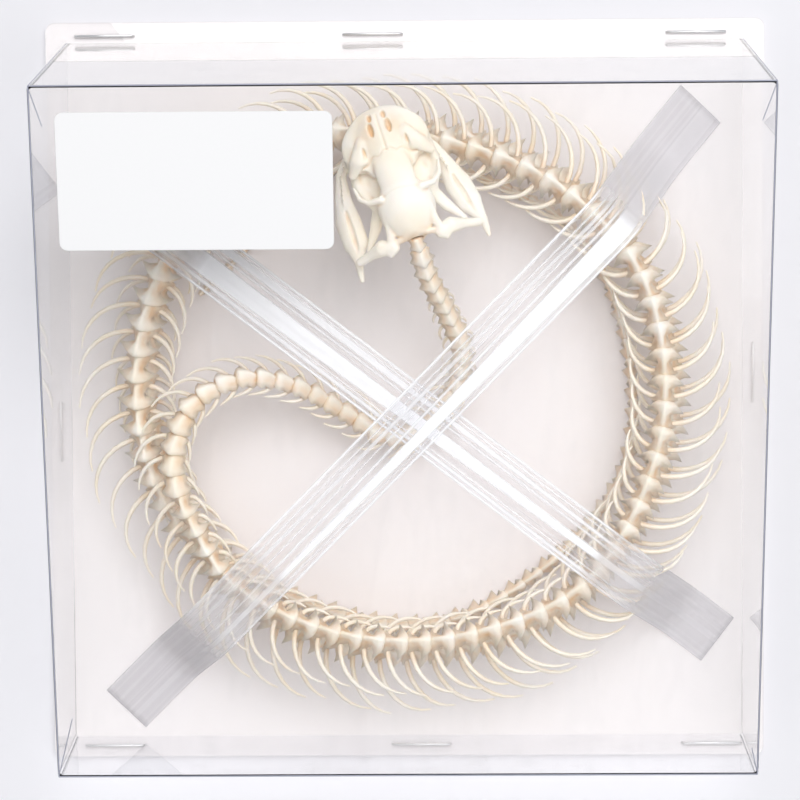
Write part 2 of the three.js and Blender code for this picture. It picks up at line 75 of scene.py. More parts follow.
# Turns of the coil about their own centre: angle in degrees, radius, height, lean in degrees
COIL_CENTRE = (-1.2, 1.1)
COIL_STATIONS = [
    (186, 45.3, 19.5, 12),
    (198, 50.6, 19.5, 6),
    (212, 52.3, 19.3, 0),
    (230, 54.4, 19.0, -8),
    (258, 53.8, 19.0, -18),
    (286, 54.6, 19.0, -20),
    (315, 57.2, 19.0, -16),
    (350, 56.2, 19.0, -6),
    (383, 56.4, 19.0, -2),
    (411, 54.2, 19.0, 8),
    (440, 52.8, 18.8, 14),
    (470, 56.5, 17.0, 14),
    (495, 58.5, 15.0, 10),
    (515, 56.8, 13.6, 6),
    (535, 56.4, 12.4, 2),
    (556, 56.4, 11.3, -2),
    (575, 55.5, 10.8, -6),
    (600, 56.5, 10.8, -10),
    (630, 57.0, 10.8, -12),
    (665, 58.4, 10.8, -10),
    (710, 58.4, 10.8, -4),
    (750, 57.6, 10.8, 0),
    (790, 55.5, 10.6, 2),
    (825, 56.0, 9.2, 4),
    (855, 57.0, 7.4, 4),
    (885, 55.5, 5.6, 4),
    (915, 54.0, 4.3, 4),
    (950, 53.0, 3.4, 0),
    (1000, 52.5, 2.8, 0),
    (1060, 52.0, 2.3, 0),
    (1120, 51.0, 1.9, 0),
    (1180, 49.5, 1.6, 0),
    (1235, 48.5, 1.3, 0),
]
STEPS_PER_STATION = 40

# Sizes along the spine: distance from the skull in millimetres, then the value there
HALF_WIDTH = [
    (0, 2.7), (60, 2.8), (180, 3.7), (420, 4.2), (700, 4), (790, 3), (860, 2.3), (1000, 1.4), (1160, 0.6),
]
SOLID_PITCH = [(0, 7), (150, 9.5), (300, 11.5), (760, 11), (860, 9.5), (1160, 7.5)]
RIB_REACH = [(0, 0), (12, 3), (60, 6), (150, 9.5), (250, 11.5), (440, 12.4), (700, 12), (800, 8), (850, 5)]
NECK_END = 120
TRUNK_END = 850
SPINE_REST = 4
SOLIDS_PER_NODE = {"neck": 9, "trunk": 7, "tail": 14}
VERTEBRAE_PER_SOLID = 2
ATLAS_LENGTH = 2.8

# A vertebra along its length, as shares of its half width: place, body width, keel, wing reach, wing
# height, wing lean to the tail, arch width, arch height, crest width, crest height, stain
TRUNK_RINGS = [
    (-0.02, 0.30, -0.42, 0.44, -0.12, 0.00, 0.24, 0.20, 0.07, 0.42, 0.95),
    (0.09, 0.40, -0.50, 0.76, -0.20, -0.02, 0.28, 0.26, 0.07, 0.66, 0.55),
    (0.26, 0.36, -0.54, 0.48, -0.12, 0.02, 0.22, 0.34, 0.08, 0.95, 0.80),
    (0.50, 0.28, -0.52, 0.34, 0.02, 0.00, 0.22, 0.38, 0.09, 1.02, 0.75),
    (0.74, 0.28, -0.48, 0.66, 0.24, -0.12, 0.40, 0.46, 0.10, 1.04, 0.10),
    (0.93, 0.28, -0.46, 1.08, 0.26, -0.30, 0.58, 0.46, 0.11, 1.04, 0.00),
    (1.06, 0.26, -0.40, 0.56, 0.20, -0.08, 0.40, 0.38, 0.10, 0.98, 0.25),
]
NECK_RINGS = [
    (-0.02, 0.40, -0.45, 0.55, -0.05, 0.00, 0.35, 0.25, 0.08, 0.42, 0.90),
    (0.15, 0.45, -0.50, 0.80, -0.05, 0.00, 0.42, 0.34, 0.09, 0.62, 0.50),
    (0.45, 0.42, -0.52, 0.70, 0.08, 0.00, 0.44, 0.44, 0.10, 0.80, 0.30),
    (0.75, 0.40, -0.50, 1.00, 0.16, -0.04, 0.56, 0.46, 0.11, 0.86, 0.02),
    (0.95, 0.36, -0.46, 0.84, 0.16, -0.06, 0.50, 0.42, 0.11, 0.86, 0.15),
    (1.05, 0.30, -0.40, 0.50, 0.12, 0.00, 0.36, 0.34, 0.10, 0.80, 0.70),
]
TAIL_RINGS = [
    (-0.02, 0.32, -0.50, 0.42, -0.10, 0.00, 0.28, 0.24, 0.07, 0.40, 0.80),
    (0.14, 0.40, -0.60, 0.66, -0.14, 0.00, 0.30, 0.32, 0.07, 0.60, 0.55),
    (0.34, 0.38, -0.66, 1.20, -0.26, 0.10, 0.28, 0.40, 0.08, 0.86, 0.45),
    (0.54, 0.32, -0.66, 0.42, 0.00, 0.04, 0.28, 0.42, 0.09, 0.96, 0.50),
    (0.90, 0.30, -0.60, 0.90, 0.20, -0.16, 0.46, 0.46, 0.10, 0.98, 0.05),
    (1.05, 0.28, -0.52, 0.48, 0.18, -0.04, 0.36, 0.40, 0.10, 0.92, 0.35),
]

# Ribs: where they spring from, the angles of their bend, their sweep and droop as shares of the reach
RIB_ROOT_ALONG = 0.2
RIB_ROOT_SIDE = 0.5
RIB_ROOT_DROP = 0.2
RIB_START_ANGLE = 8
RIB_END_ANGLE = 98
RIB_SWEEP = 0.85
RIB_DROOP = 0.3
RIB_STEPS = 9
RIB_BELOW = 3.2
RIB_ABOVE = 1.5
RIB_CLEARANCE = 0.7
# Share of that reach on the inner flank of the coil, where the ribs hang closer under the spine
INNER_REACH = [(0, 0.9), (50, 0.7), (90, 0.4), (190, 0.42), (260, 0.64)]

# Straps in the plan: loose end, crease on the card, outer edge of the coil, and the same in reverse
STRAP_WIDTH = 12
STRAP_SHEET = 0.14
STRAP_ON_CARD = 0.45
STRAP_SPAN = 24
STRAP_LIFT = 0.9
STRAPS = {
    "strap_rising": [(-62.5, -70.1), (-51.3, -58.9), (-42, -49.6), (43.6, 37), (55, 50.7), (64.6, 62.4)],
    "strap_falling": [(-68.4, 49), (-61.5, 44.1), (-52, 37.2), (48.5, -39.6), (60.2, -48.9), (68.3, -55.2)],
}
STRAP_COLUMNS = 72
STRAP_ROWS = 120
STRAP_FILLET = 5
PLEATS = [(3, 0.04, 0.4), (7, 0.02, 1.9)]
# Painted highlights: white bands along each strap where light would glint off the pleats, from its right edge
# as it runs: middle, half width, strength
STRAP_HIGHLIGHT_BANDS = {
    "strap_rising": [(0.02, 0.02, 0.9), (0.09, 0.01, 0.4), (0.27, 0.13, 1.0), (0.46, 0.02, 0.6),
                     (0.58, 0.01, 0.5), (0.70, 0.03, 0.45), (0.84, 0.01, 0.5), (0.98, 0.02, 0.9)],
    "strap_falling": [(0.02, 0.02, 0.9), (0.12, 0.03, 0.7), (0.22, 0.01, 0.5), (0.44, 0.15, 1.0),
                      (0.66, 0.02, 0.5), (0.80, 0.06, 0.75), (0.92, 0.01, 0.5), (0.98, 0.02, 0.9)],
}
# Where the painted highlight bands start and end in the plan, at the inner edge of the coil, and how much
# they narrow
STRAP_RUNS = {
    "strap_rising": ((-26.5, -35), (43.6, 37), 0.35, 1.25),
    "strap_falling": ((-40.5, 28.8), (41.8, -28.3), 1.2, 0.4),
}
RUN_FADE = 3
BAND_SOFTNESS = 0.02
PLEAT_START = 2
PLEAT_RISE = 12
END_FALL = 0.14
FALL_SLACK = 0.6
FILM_SHIFT = 3.7
FILM_REPEATS = 8
BAND_DRIFT = 0.03

# Cover: upright sides, a sloping front sheet and end walls that lean towards the low end
COVER_WIDTH = 148
COVER_LENGTH = 153
COVER_LOW = 25
COVER_HIGH = 52.7
COVER_LOW_LEAN = 3.7
COVER_HIGH_LEAN = 13.4
COVER_SHEET = 0.35
COVER_FLANGE = 4.4
COVER_LIFT = 0.3
COVER_CORNER = 0.7
FLANGE_CORNER = 2
CORNER_STEPS = 4
# Thin rods along the folds carry the painted shade of the bent sheet
FOLD_RADIUS = 0.15
WALL_FOLD = 0.7
FOLD_INSET = 0.3
GUSSET_INSET = 0.4
# Ends of the folded gussets on the sloping sheet, from each corner inwards
GUSSETS = [((-1, 1), (2.4, 7.8)), ((1, 1), (2.6, 7.6)), ((-1, -1), (3.3, 12.8)), ((1, -1), (1.3, 5.8))]

# Label on the sloping sheet
LABEL_SIZE = (55, 27.7)
LABEL_CORNER = 1.6
LABEL_PLACE = (-41.3, 44.3)
LABEL_THICK = 0.2
LABEL_EDGE = 0.07
LABEL_GAP = 0.02

# Staples through the flange: middle of the crown and its direction in degrees
STAPLE_WIDTH = 12.8
STAPLE_WIRE = 0.3
STAPLE_LEG = 0.9
STAPLE_BEND = 0.5
STAPLES = [
    (-65.5, 78.0, 0),
    (-6.9, 78.0, 0),
    (63.6, 78.0, 0),
    (-65.0, -78.4, 0),
    (2.9, -78.4, 0),
    (67.0, -78.4, 0),
    (-76.3, -8.5, 90),
    (76.3, 3.7, 90),
]

# Skull: place of its back end above the card, and its turns in degrees
SKULL_PLACE = (2.4, 34.1, 34)
SKULL_HEADING = 18.3
SKULL_PITCH = -4
SKULL_ROLL = -4
SKULL_CELL = 0.2

# Rounded blocks along the middle of the skull: forward, up, half length, half width, half height
SKULL_BLOCKS = {
    "braincase": (5.4, 0.4, 6.6, 6.0, 3.7),
    "occiput": (1.4, 0.1, 3.0, 3.6, 2.6),
    "frontals": (12.8, 1.7, 6.4, 3.9, 1.7),
    "nasals": (20.6, 0.9, 5.4, 4.9, 2.1),
    "snout": (19.6, 0.0, 7.0, 9.2, 1.9),
    "palate": (14, -2.1, 5.2, 9.4, 0.75),
    "premaxilla": (24.6, -0.4, 2.4, 5.4, 1.5),
    "condyle": (-0.9, -0.9, 1.3, 1.4, 1.1),
}
# Paired bones of the right side: flatness, then forward, right, up and radius along each
SKULL_BARS = {
    "maxilla": (1.0, [(26.3, 2.2, -1.2, 0.8), (24, 5.9, -1.4, 1.1), (18.8, 8.0, -1.6, 1.2),
                      (13.4, 8.6, -2.0, 0.8), (11.6, 8.2, -2.3, 0.5)]),
    "prefrontal": (0.6, [(20.4, 4.6, 1.7, 1.4), (17.6, 6.2, 1.5, 1.8), (15.2, 8.4, 0.6, 0.9)]),
    "prefrontal_foot": (1.0, [(17.4, 7.6, 0.9, 0.8), (17.6, 8.1, -1.2, 0.7)]),
    "postorbital": (1.0, [(8.4, 4.4, 2.4, 0.8), (8.6, 7.0, 1.6, 0.6), (10.0, 8.6, 0.8, 0.5),
                          (12.6, 9.2, 0.0, 0.32)]),
    "palatine": (0.7, [(22.6, 2.6, -1.8, 0.6), (16, 4.0, -2.5, 0.9), (11, 5.2, -2.7, 1.0)]),
    "pterygoid": (0.6, [(11, 5.2, -2.7, 1.0), (7, 6.0, -2.8, 1.3), (3.6, 7.8, -3.0, 1.2),
                        (-0.2, 10.6, -3.2, 0.5)]),
    "ectopterygoid": (0.7, [(13.4, 8.4, -2.1, 0.8), (10.4, 7.6, -2.5, 1.0), (7.4, 6.3, -2.8, 0.7)]),
    "supratemporal": (0.7, [(5, 4.6, 1.9, 0.7), (1, 4.8, 1.4, 0.9), (-2.6, 6.0, 0.8, 0.8)]),
    "quadrate": (0.6, [(-1.6, 5.2, 1.0, 1.3), (-0.9, 7.4, 0.4, 1.7), (-1.4, 10.2, -1.0, 1.0),
                       (-1.9, 12.9, -2.3, 0.9)]),
    "exoccipital": (1.0, [(0.4, 0.4, 2.4, 0.5), (-0.7, 2.4, 1.5, 0.6), (-0.8, 4.4, 0.9, 0.6)]),
}
SKULL_HOLES = {
    "nostril": (22.6, 1.9, 2.9, 1.6, 0.62, 1.5),
    "narial_notch": (25.0, 1.5, 1.7, 0.9, 0.5, 0.9),
    "spinal_hole": (-1.8, 0.0, 0.7, 2.4, 1.4, 1.1),
    "orbit": (12.6, 6.2, 0.9, 2.7, 1.7, 2.6),
    "palate_hole_front": (16.2, 7.2, -2.2, 0.9, 0.6, 1.2),
    "palate_slit": (18.4, 4.6, 2.6, 1.3, 0.35, 1.0),
}
SEAM_DEPTH = 0.2
SEAM_WIDTH = 0.2
NASAL_SEAM = 17.6
PARIETAL_SEAM = 9.4

# Lower jaws: forward, right, up and radius along the bone, and along the groove on its inner side
JAWS = {
    "mandible_right": (
        [(-4.8, 14, -4.9, 0.5), (-1.6, 13.9, -4.7, 0.95), (3, 12.3, -4.9, 2.6), (7, 11.3, -5.0, 2.8),
         (11.5, 10.2, -5.2, 1.9), (16, 9, -5.4, 1.1), (23.5, 4.6, -5.2, 0.6)],
        [(0.5, 12.7, -3.5, 0.4), (4.5, 11.9, -3.4, 0.65), (9, 10.8, -3.8, 0.35)],
    ),
    "mandible_left": (
        [(-5.4, -14, -4.9, 0.5), (-1.6, -13.4, -4.7, 0.95), (2.5, -12.8, -4.9, 2.7), (7, -12.9, -5.0, 2.7),
         (11.5, -12.5, -5.2, 1.8), (16.5, -11.4, -5.4, 1.1), (23.5, -6, -5.2, 0.6)],
        [(0.2, -12.8, -3.5, 0.4), (4.5, -12.7, -3.4, 0.65), (9, -12.6, -3.8, 0.35)],
    ),
}
JAW_FLATNESS = 0.55

# Rows of teeth on the bones named above: shares of the bone, count, length, way they point
TOOTH_ROWS = {
    "maxilla": (0.06, 0.95, 15, 1.5, -1),
    "palatine": (0.1, 0.95, 8, 0.9, -1),
    "pterygoid": (0.05, 0.6, 9, 0.8, -1),
    "jaw": (0.55, 0.97, 14, 1.3, 1),
}
TOOTH_LEAN = 38

# Camera, as found from the cover's corners in the photograph: place above the card and turns in degrees
CAMERA_PLACE = (5.29, 24.79, 527.51)
CAMERA_TURN = (-2.907, 0.727, -0.330)
CAMERA_LENS = 108
CAMERA_SENSOR = 36
LAMP_TARGET = (0, 0, 0.02)
LAMPS = [("key", (0.15, 0.42, 1.0), 0.9, 5.0), ("fill", (0.5, -0.6, 0.9), 1.2, 1.2)]
ROOM_COLOUR = (0.97, 0.975, 1.0, 1)
ROOM_STRENGTH = 0.62
FLOOR_REACH = 3.0
FLOOR_COLOURS = ((0.90, 0.895, 0.925), (0.92, 0.915, 0.945))


class BoneSettings(bpy.types.PropertyGroup):
    """Sizes and colours of the bones"""

    rib_root: FloatProperty(
        name="Rib Root", description="Radius of a rib at its root",
        default=0.58 * MM, unit="LENGTH", subtype="DISTANCE",
    )
    rib_tip: FloatProperty(
        name="Rib Tip", description="Radius of a rib at its tip",
        default=0.2 * MM, unit="LENGTH", subtype="DISTANCE",
    )
    rib_sides: IntProperty(name="Rib Sides", description="Sides of a rib's section", default=6, min=3, max=12)
    seed: IntProperty(name="Seed", description="Seed of the small differences between ribs", default=7)
    ivory: FloatVectorProperty(
        name="Ivory", description="Colour of clean bone",
        default=(0.98, 0.93, 0.84), size=3, subtype="COLOR",
    )
    stain: FloatVectorProperty(
        name="Stain", description="Colour in the hollows of the bone",
        default=(0.74, 0.43, 0.17), size=3, subtype="COLOR",
    )


class CaseSettings(bpy.types.PropertyGroup):
    """Colours of the card, cover, label and straps"""

    card: FloatVectorProperty(
        name="Card", description="Colour of the card",
        default=(0.87, 0.835, 0.83), size=3, subtype="COLOR",
    )
    sheet: FloatVectorProperty(
        name="Clear Sheet", description="Tint of the clear cover",
        default=(0.985, 0.985, 0.99), size=3, subtype="COLOR",
    )
    # Colour of the painted shade along the cover's folds, where the bent sheet looks darker and bluer
    fold_shade: FloatVectorProperty(
        name="Fold", description="Tint along the folds of the cover",
        default=(0.50, 0.52, 0.62), size=3, subtype="COLOR",
    )
    label: FloatVectorProperty(
        name="Label", description="Colour of the blank label",
        default=(0.97, 0.97, 0.97), size=3, subtype="COLOR",
    )
    # Colour of the painted highlights along the straps' pleats, and of the film's haze
    film: FloatVectorProperty(
        name="Film", description="Colour of the straps' bright folds",
        default=(0.95, 0.95, 0.96), size=3, subtype="COLOR",
    )
    steel: FloatVectorProperty(
        name="Staple Steel", description="Colour of the staples",
        default=(0.88, 0.88, 0.89), size=3, subtype="COLOR",
    )


# Small tools for tables, curves and meshes


def look_up(table, distance):
    places = [row[0] for row in table]
    values = [row[1] for row in table]
    return float(np.interp(distance, places, values))


def centripetal_curve(points, steps):
    """Points of a smooth curve through the given ones, spaced by the roots of their distances."""
    ends = np.vstack([2 * points[0] - points[1], points, 2 * points[-1] - points[-2]])
    weight = np.linspace(0, 1, steps, endpoint=False)[:, None]
    pieces = []
    for before, start, end, after in zip(ends, ends[1:], ends[2:], ends[3:]):
        strides = (start - before, end - start, after - end)
        gap_in, gap, gap_out = (math.sqrt(np.linalg.norm(stride)) for stride in strides)
        leave = (start - before) / gap_in - (end - before) / (gap_in + gap) + (end - start) / gap
        arrive = (end - start) / gap - (after - start) / (gap + gap_out) + (after - end) / gap_out
        leave, arrive = leave * gap, arrive * gap
        square = -3 * start + 3 * end - 2 * leave - arrive
        cube = 2 * start - 2 * end + leave + arrive
        pieces.append(start + leave * weight + square * weight**2 + cube * weight**3)
    return np.vstack([*pieces, points[-1:]])


def new_piece(name, points, faces, material, smooth=True):
    """Mesh object from points in millimetres above the card's top."""
    placed = (np.asarray(points, float) + (0, 0, CARD_TOP)) * MM
    mesh = bpy.data.meshes.new(name)
    mesh.from_pydata(placed.tolist(), [], [list(map(int, face)) for face in faces])
    mesh.materials.append(material)
    mesh.shade_smooth() if smooth else mesh.shade_flat()
    mesh.update()
    piece = bpy.data.objects.new(name, mesh)
    bpy.context.scene.collection.objects.link(piece)
    return piece


def loft(rings):
    """Closed skin through rings of equally many points, with flat ends and faces out."""
    sides = len(rings[0])
    points = np.vstack(rings)
    faces = []
    for start in range(0, (len(rings) - 1) * sides, sides):
        for k in range(sides):
            beside = (k + 1) % sides
            faces.append([start + k, start + beside, start + sides + beside, start + sides + k])
    faces.append(list(range(sides))[::-1])
    faces.append(list(range(len(points) - sides, len(points))))
    middle = points.mean(0)
    volume = sum(
        np.dot(points[f[0]] - middle, np.cross(points[f[k]] - middle, points[f[k + 1]] - middle))
        for f in faces
        for k in range(1, len(f) - 1)
    )
    return points, faces if volume > 0 else [face[::-1] for face in faces]


def settle(piece, slot, *nodes):
    """The piece rides on the card and stands for its solids."""
    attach(piece, BODY)
    if nodes:
        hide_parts(*nodes)
    return piece


# Materials


def new_material(name):
    material = bpy.data.materials.new(name)
    material.use_nodes = True
    nodes = material.node_tree.nodes
    return material, material.node_tree, nodes["Principled BSDF"], nodes["Material Output"]


def noise_node(tree, scale, detail=3.0, coordinates=None, stretch=None):
    place = coordinates or tree.nodes.new("ShaderNodeTexCoord").outputs["Object"]
    if stretch:
        mapping = tree.nodes.new("ShaderNodeMapping")
        mapping.inputs["Scale"].default_value = stretch
        tree.links.new(place, mapping.inputs["Vector"])
        place = mapping.outputs["Vector"]
    noise = tree.nodes.new("ShaderNodeTexNoise")
    noise.inputs["Scale"].default_value = scale
    noise.inputs["Detail"].default_value = detail
    tree.links.new(place, noise.inputs["Vector"])
    return noise.outputs["Fac"]


def range_node(tree, value, low, high, to_low, to_high):
    node = tree.nodes.new("ShaderNodeMapRange")
    for name, number in (("From Min", low), ("From Max", high), ("To Min", to_low), ("To Max", to_high)):
        node.inputs[name].default_value = number
    tree.links.new(value, node.inputs["Value"])
    return node.outputs["Result"]


def math_node(tree, operation, first, second):
    node = tree.nodes.new("ShaderNodeMath")
    node.operation = operation
    node.use_clamp = True
    for socket, value in zip(node.inputs, (first, second)):
        if isinstance(value, (int, float)):
            socket.default_value = value
        else:
            tree.links.new(value, socket)
    return node.outputs["Value"]


def blend_node(tree, share, first, second):
    node = tree.nodes.new("ShaderNodeMix")
    node.data_type = "RGBA"
    tree.links.new(share, node.inputs["Factor"])
    for socket, colour in ((node.inputs[6], first), (node.inputs[7], second)):
        if hasattr(colour, "is_linked"):
            tree.links.new(colour, socket)
        else:
            socket.default_value = (*colour, 1)
    return node.outputs[2]


def add_bump(tree, shader, height, distance, strength=0.4):
    bump = tree.nodes.new("ShaderNodeBump")
    bump.inputs["Strength"].default_value = strength
    bump.inputs["Distance"].default_value = distance
    tree.links.new(height, bump.inputs["Height"])
    tree.links.new(bump.outputs["Normal"], shader.inputs["Normal"])


def attribute_node(tree, name):
    node = tree.nodes.new("ShaderNodeAttribute")
    node.attribute_name = name
    return node.outputs["Fac"]


def clear_body(tree, shader, output, share, shade):
    """The shader lets light through except for a share of it, and casts only a faint shade."""
    shader.inputs["IOR"].default_value = 1.4
    tree.links.new(math_node(tree, "SUBTRACT", 1.0, share), shader.inputs["Transmission Weight"])
    clear = tree.nodes.new("ShaderNodeBsdfTransparent")
    clear.inputs["Color"].default_value = (*shade, 1)
    path = tree.nodes.new("ShaderNodeLightPath")
    mix = tree.nodes.new("ShaderNodeMixShader")
    tree.links.new(path.outputs["Is Shadow Ray"], mix.inputs["Fac"])
    tree.links.new(shader.outputs["BSDF"], mix.inputs[1])
    tree.links.new(clear.outputs["BSDF"], mix.inputs[2])
    tree.links.new(mix.outputs["Shader"], output.inputs["Surface"])


def bone_material(settings):
    """Bleached bone: ivory, with brown stain in the hollows and a fine grain."""
    material, tree, shader, _ = new_material("dry_bone")
    cloud = noise_node(tree, 420, 4)
    blotch = range_node(tree, cloud, 0.3, 0.7, 0.4, 1.15)
    stain = math_node(tree, "MULTIPLY", attribute_node(tree, "stain"), blotch)
    warm = blend_node(tree, range_node(tree, noise_node(tree, 90, 2), 0.35, 0.65, 0, 1),
                      settings.ivory, (0.96, 0.87, 0.72))
    tree.links.new(blend_node(tree, stain, warm, settings.stain), shader.inputs["Base Color"])
    grain = noise_node(tree, 2600, 5)
    tree.links.new(range_node(tree, grain, 0.3, 0.7, 0.38, 0.58), shader.inputs["Roughness"])
    shader.inputs["Subsurface Weight"].default_value = 0.12
    shader.inputs["Subsurface Radius"].default_value = (0.0012, 0.0008, 0.0005)
    shader.inputs["Subsurface Scale"].default_value = 1.0
    add_bump(tree, shader, grain, 0.00006, 0.5)
    return material


def card_material(settings):
    """White board with a faint fibre."""
    material, tree, shader, _ = new_material("white_board")
    fibre = noise_node(tree, 900, 6, stretch=(1, 3, 1))
    pale = tuple(min(1.0, c * 1.05) for c in settings.card)
    tree.links.new(blend_node(tree, fibre, settings.card, pale), shader.inputs["Base Color"])
    tree.links.new(range_node(tree, fibre, 0.3, 0.7, 0.62, 0.8), shader.inputs["Roughness"])
    add_bump(tree, shader, fibre, 0.00004, 0.35)
    return material


def sheet_material(settings):
    """Clear cover: sharp reflections at a slant, faint scuffs, and light straight through."""
    material, tree, shader, output = new_material("clear_sheet")
    scuff = noise_node(tree, 140, 6, stretch=(1, 0.25, 1))
    milky = tuple(c * 0.985 for c in settings.sheet)
    tree.links.new(blend_node(tree, scuff, settings.sheet, milky), shader.inputs["Base Color"])
    shader.inputs["Roughness"].default_value = 0.0
    clear_body(tree, shader, output, range_node(tree, scuff, 0.5, 0.8, 0.0, 0.05), (0.99, 0.99, 0.995))
    return material


def fold_shade_material(settings):
    """Painted shade along the bent edges of the clear cover: a darker, bluer line where light bends through
    the fold.
    """
    material, tree, shader, output = new_material("painted_fold_shade")
    streak = noise_node(tree, 260, 3)
    # Streaks of deeper painted shade along the fold
    dark = tuple(c * 0.75 for c in settings.fold_shade)
    tree.links.new(blend_node(tree, streak, settings.fold_shade, dark), shader.inputs["Base Color"])
    shader.inputs["Roughness"].default_value = 0.15
    clear_body(tree, shader, output, range_node(tree, streak, 0.3, 0.7, 0.8, 0.95), (0.9, 0.91, 0.95))
    return material


def label_material(settings):
    """Blank white sticker with a soft coat."""
    material, tree, shader, _ = new_material("sticker_paper")
    fibre = noise_node(tree, 1400, 4)
    cool = tuple(c * 0.985 for c in settings.label)
    tree.links.new(blend_node(tree, fibre, settings.label, cool), shader.inputs["Base Color"])
    tree.links.new(range_node(tree, fibre, 0.3, 0.7, 0.5, 0.65), shader.inputs["Roughness"])
    add_bump(tree, shader, fibre, 0.00002, 0.2)
    return material


def film_material(settings):
    """Clear film drawn tight in pleats, with painted highlights: white bands along some pleats where light
    would glint, grey where it lies on the card.
    """
    material, tree, shader, output = new_material("pleated_film")
    along = tree.nodes.new("ShaderNodeUVMap")
    along.uv_map = "strap"
    fall = attribute_node(tree, "fall")
    fine = noise_node(tree, 1.0, 3, along.outputs["UV"], (38, 0.25, 1))
    # Fine streaks of painted highlight along the film
    line = range_node(tree, fine, 0.60, 0.66, 0, 0.5)
    painted_highlight = math_node(tree, "MAXIMUM", attribute_node(tree, "painted_highlight"), line)
    # Painted highlights are strong on the taut span and fade where the film falls to the card
    span_highlight = math_node(tree, "MULTIPLY", painted_highlight, range_node(tree, fall, 0.02, 0.16, 0.9, 0.12))
    share = math_node(tree, "ADD", range_node(tree, fall, 0.02, 0.3, 0.05, 0.4), span_highlight)
    grey = (0.80, 0.785, 0.80)
    lying = range_node(tree, fall, 0.02, 0.3, 0, 1)
    tree.links.new(blend_node(tree, lying, settings.film, grey), shader.inputs["Base Color"])
    tree.links.new(range_node(tree, fine, 0.3, 0.7, 0.02, 0.14), shader.inputs["Roughness"])
    clear_body(tree, shader, output, share, (0.95, 0.945, 0.95))
    shader.inputs["IOR"].default_value = 1.2
    return material


def steel_material(settings):
    """Bright staple wire."""
    material, tree, shader, _ = new_material("staple_steel")
    drawn = noise_node(tree, 1500, 3, stretch=(0.2, 3, 3))
    dull = tuple(c * 0.8 for c in settings.steel)
    tree.links.new(blend_node(tree, drawn, settings.steel, dull), shader.inputs["Base Color"])
    shader.inputs["Metallic"].default_value = 1.0
    tree.links.new(range_node(tree, drawn, 0.3, 0.7, 0.2, 0.4), shader.inputs["Roughness"])
    return material


# Seats and lines: a tree turns each seat into a copy of a shape and each line into a round rod


class Draft:
    """Seats, lines and skins of a piece, in millimetres above the card's top."""

    def __init__(self):
        self.points = []
        self.edges = []
        self.faces = []
        self.kinds = []
        self.thick = []
        self.turns = []
        self.sizes = []
        self.stains = []

    def _add(self, points, kind, thick, turns, sizes, stains):
        start = len(self.points)
        count = len(points)
        self.points.extend(np.asarray(points, float).tolist())
        self.kinds.extend([kind] * count)
        self.thick.extend(np.broadcast_to(thick, count).tolist())
        self.turns.extend(np.broadcast_to(turns, (count, 3)).tolist())
        self.sizes.extend(np.broadcast_to(sizes, (count, 3)).tolist())
        self.stains.extend(np.broadcast_to(stains, count).tolist())
        return start

    def add_seat(self, point, axes, size):
        turn = Matrix(np.asarray(axes).T.tolist()).to_euler()
        self._add([point], 1, 0, tuple(turn), np.asarray(size) * MM, 0)

    def add_line(self, points, radii, stains):
        start = self._add(points, 2, radii, (0, 0, 0), (0, 0, 0), stains)
        self.edges.extend([start + i, start + i + 1] for i in range(len(points) - 1))

    def add_skin(self, points, faces, stains):
        start = self._add(points, 0, 0, (0, 0, 0), (0, 0, 0), stains)
        self.faces.extend([start + int(i) for i in face] for face in faces)

    def make(self, name, template, sides, material):
        """Runs the tree on the draft and returns the finished piece as a plain mesh."""
        placed = (np.asarray(self.points) + (0, 0, CARD_TOP)) * MM
        mesh = bpy.data.meshes.new(name)
        mesh.from_pydata(placed.tolist(), self.edges, self.faces)
        columns = (
            ("seat", "BOOLEAN", "value", [kind == 1 for kind in self.kinds]),
            ("line", "BOOLEAN", "value", [kind == 2 for kind in self.kinds]),
            ("thick", "FLOAT", "value", self.thick),
            ("turn", "FLOAT_VECTOR", "vector", np.ravel(self.turns)),
            ("size", "FLOAT_VECTOR", "vector", np.ravel(self.sizes)),
            ("stain", "FLOAT", "value", self.stains),
        )
        for title, kind, field, values in columns:
            mesh.attributes.new(title, kind, "POINT").data.foreach_set(field, values)
        piece = bpy.data.objects.new(name, mesh)
        bpy.context.scene.collection.objects.link(piece)
        tree = seat_and_line_tree()
        modifier = piece.modifiers.new("Shapes", "NODES")
        modifier.node_group = tree
        for title, value in (("Shape", template), ("Line Sides", sides), ("Material", material)):
            modifier[tree.interface.items_tree[title].identifier] = value
        depsgraph = bpy.context.evaluated_depsgraph_get()
        result = bpy.data.meshes.new_from_object(
            piece.evaluated_get(depsgraph), preserve_all_data_layers=True, depsgraph=depsgraph
        )
        piece.modifiers.clear()
        piece.data = result
        result.name = name
        bpy.data.meshes.remove(mesh)
        return piece


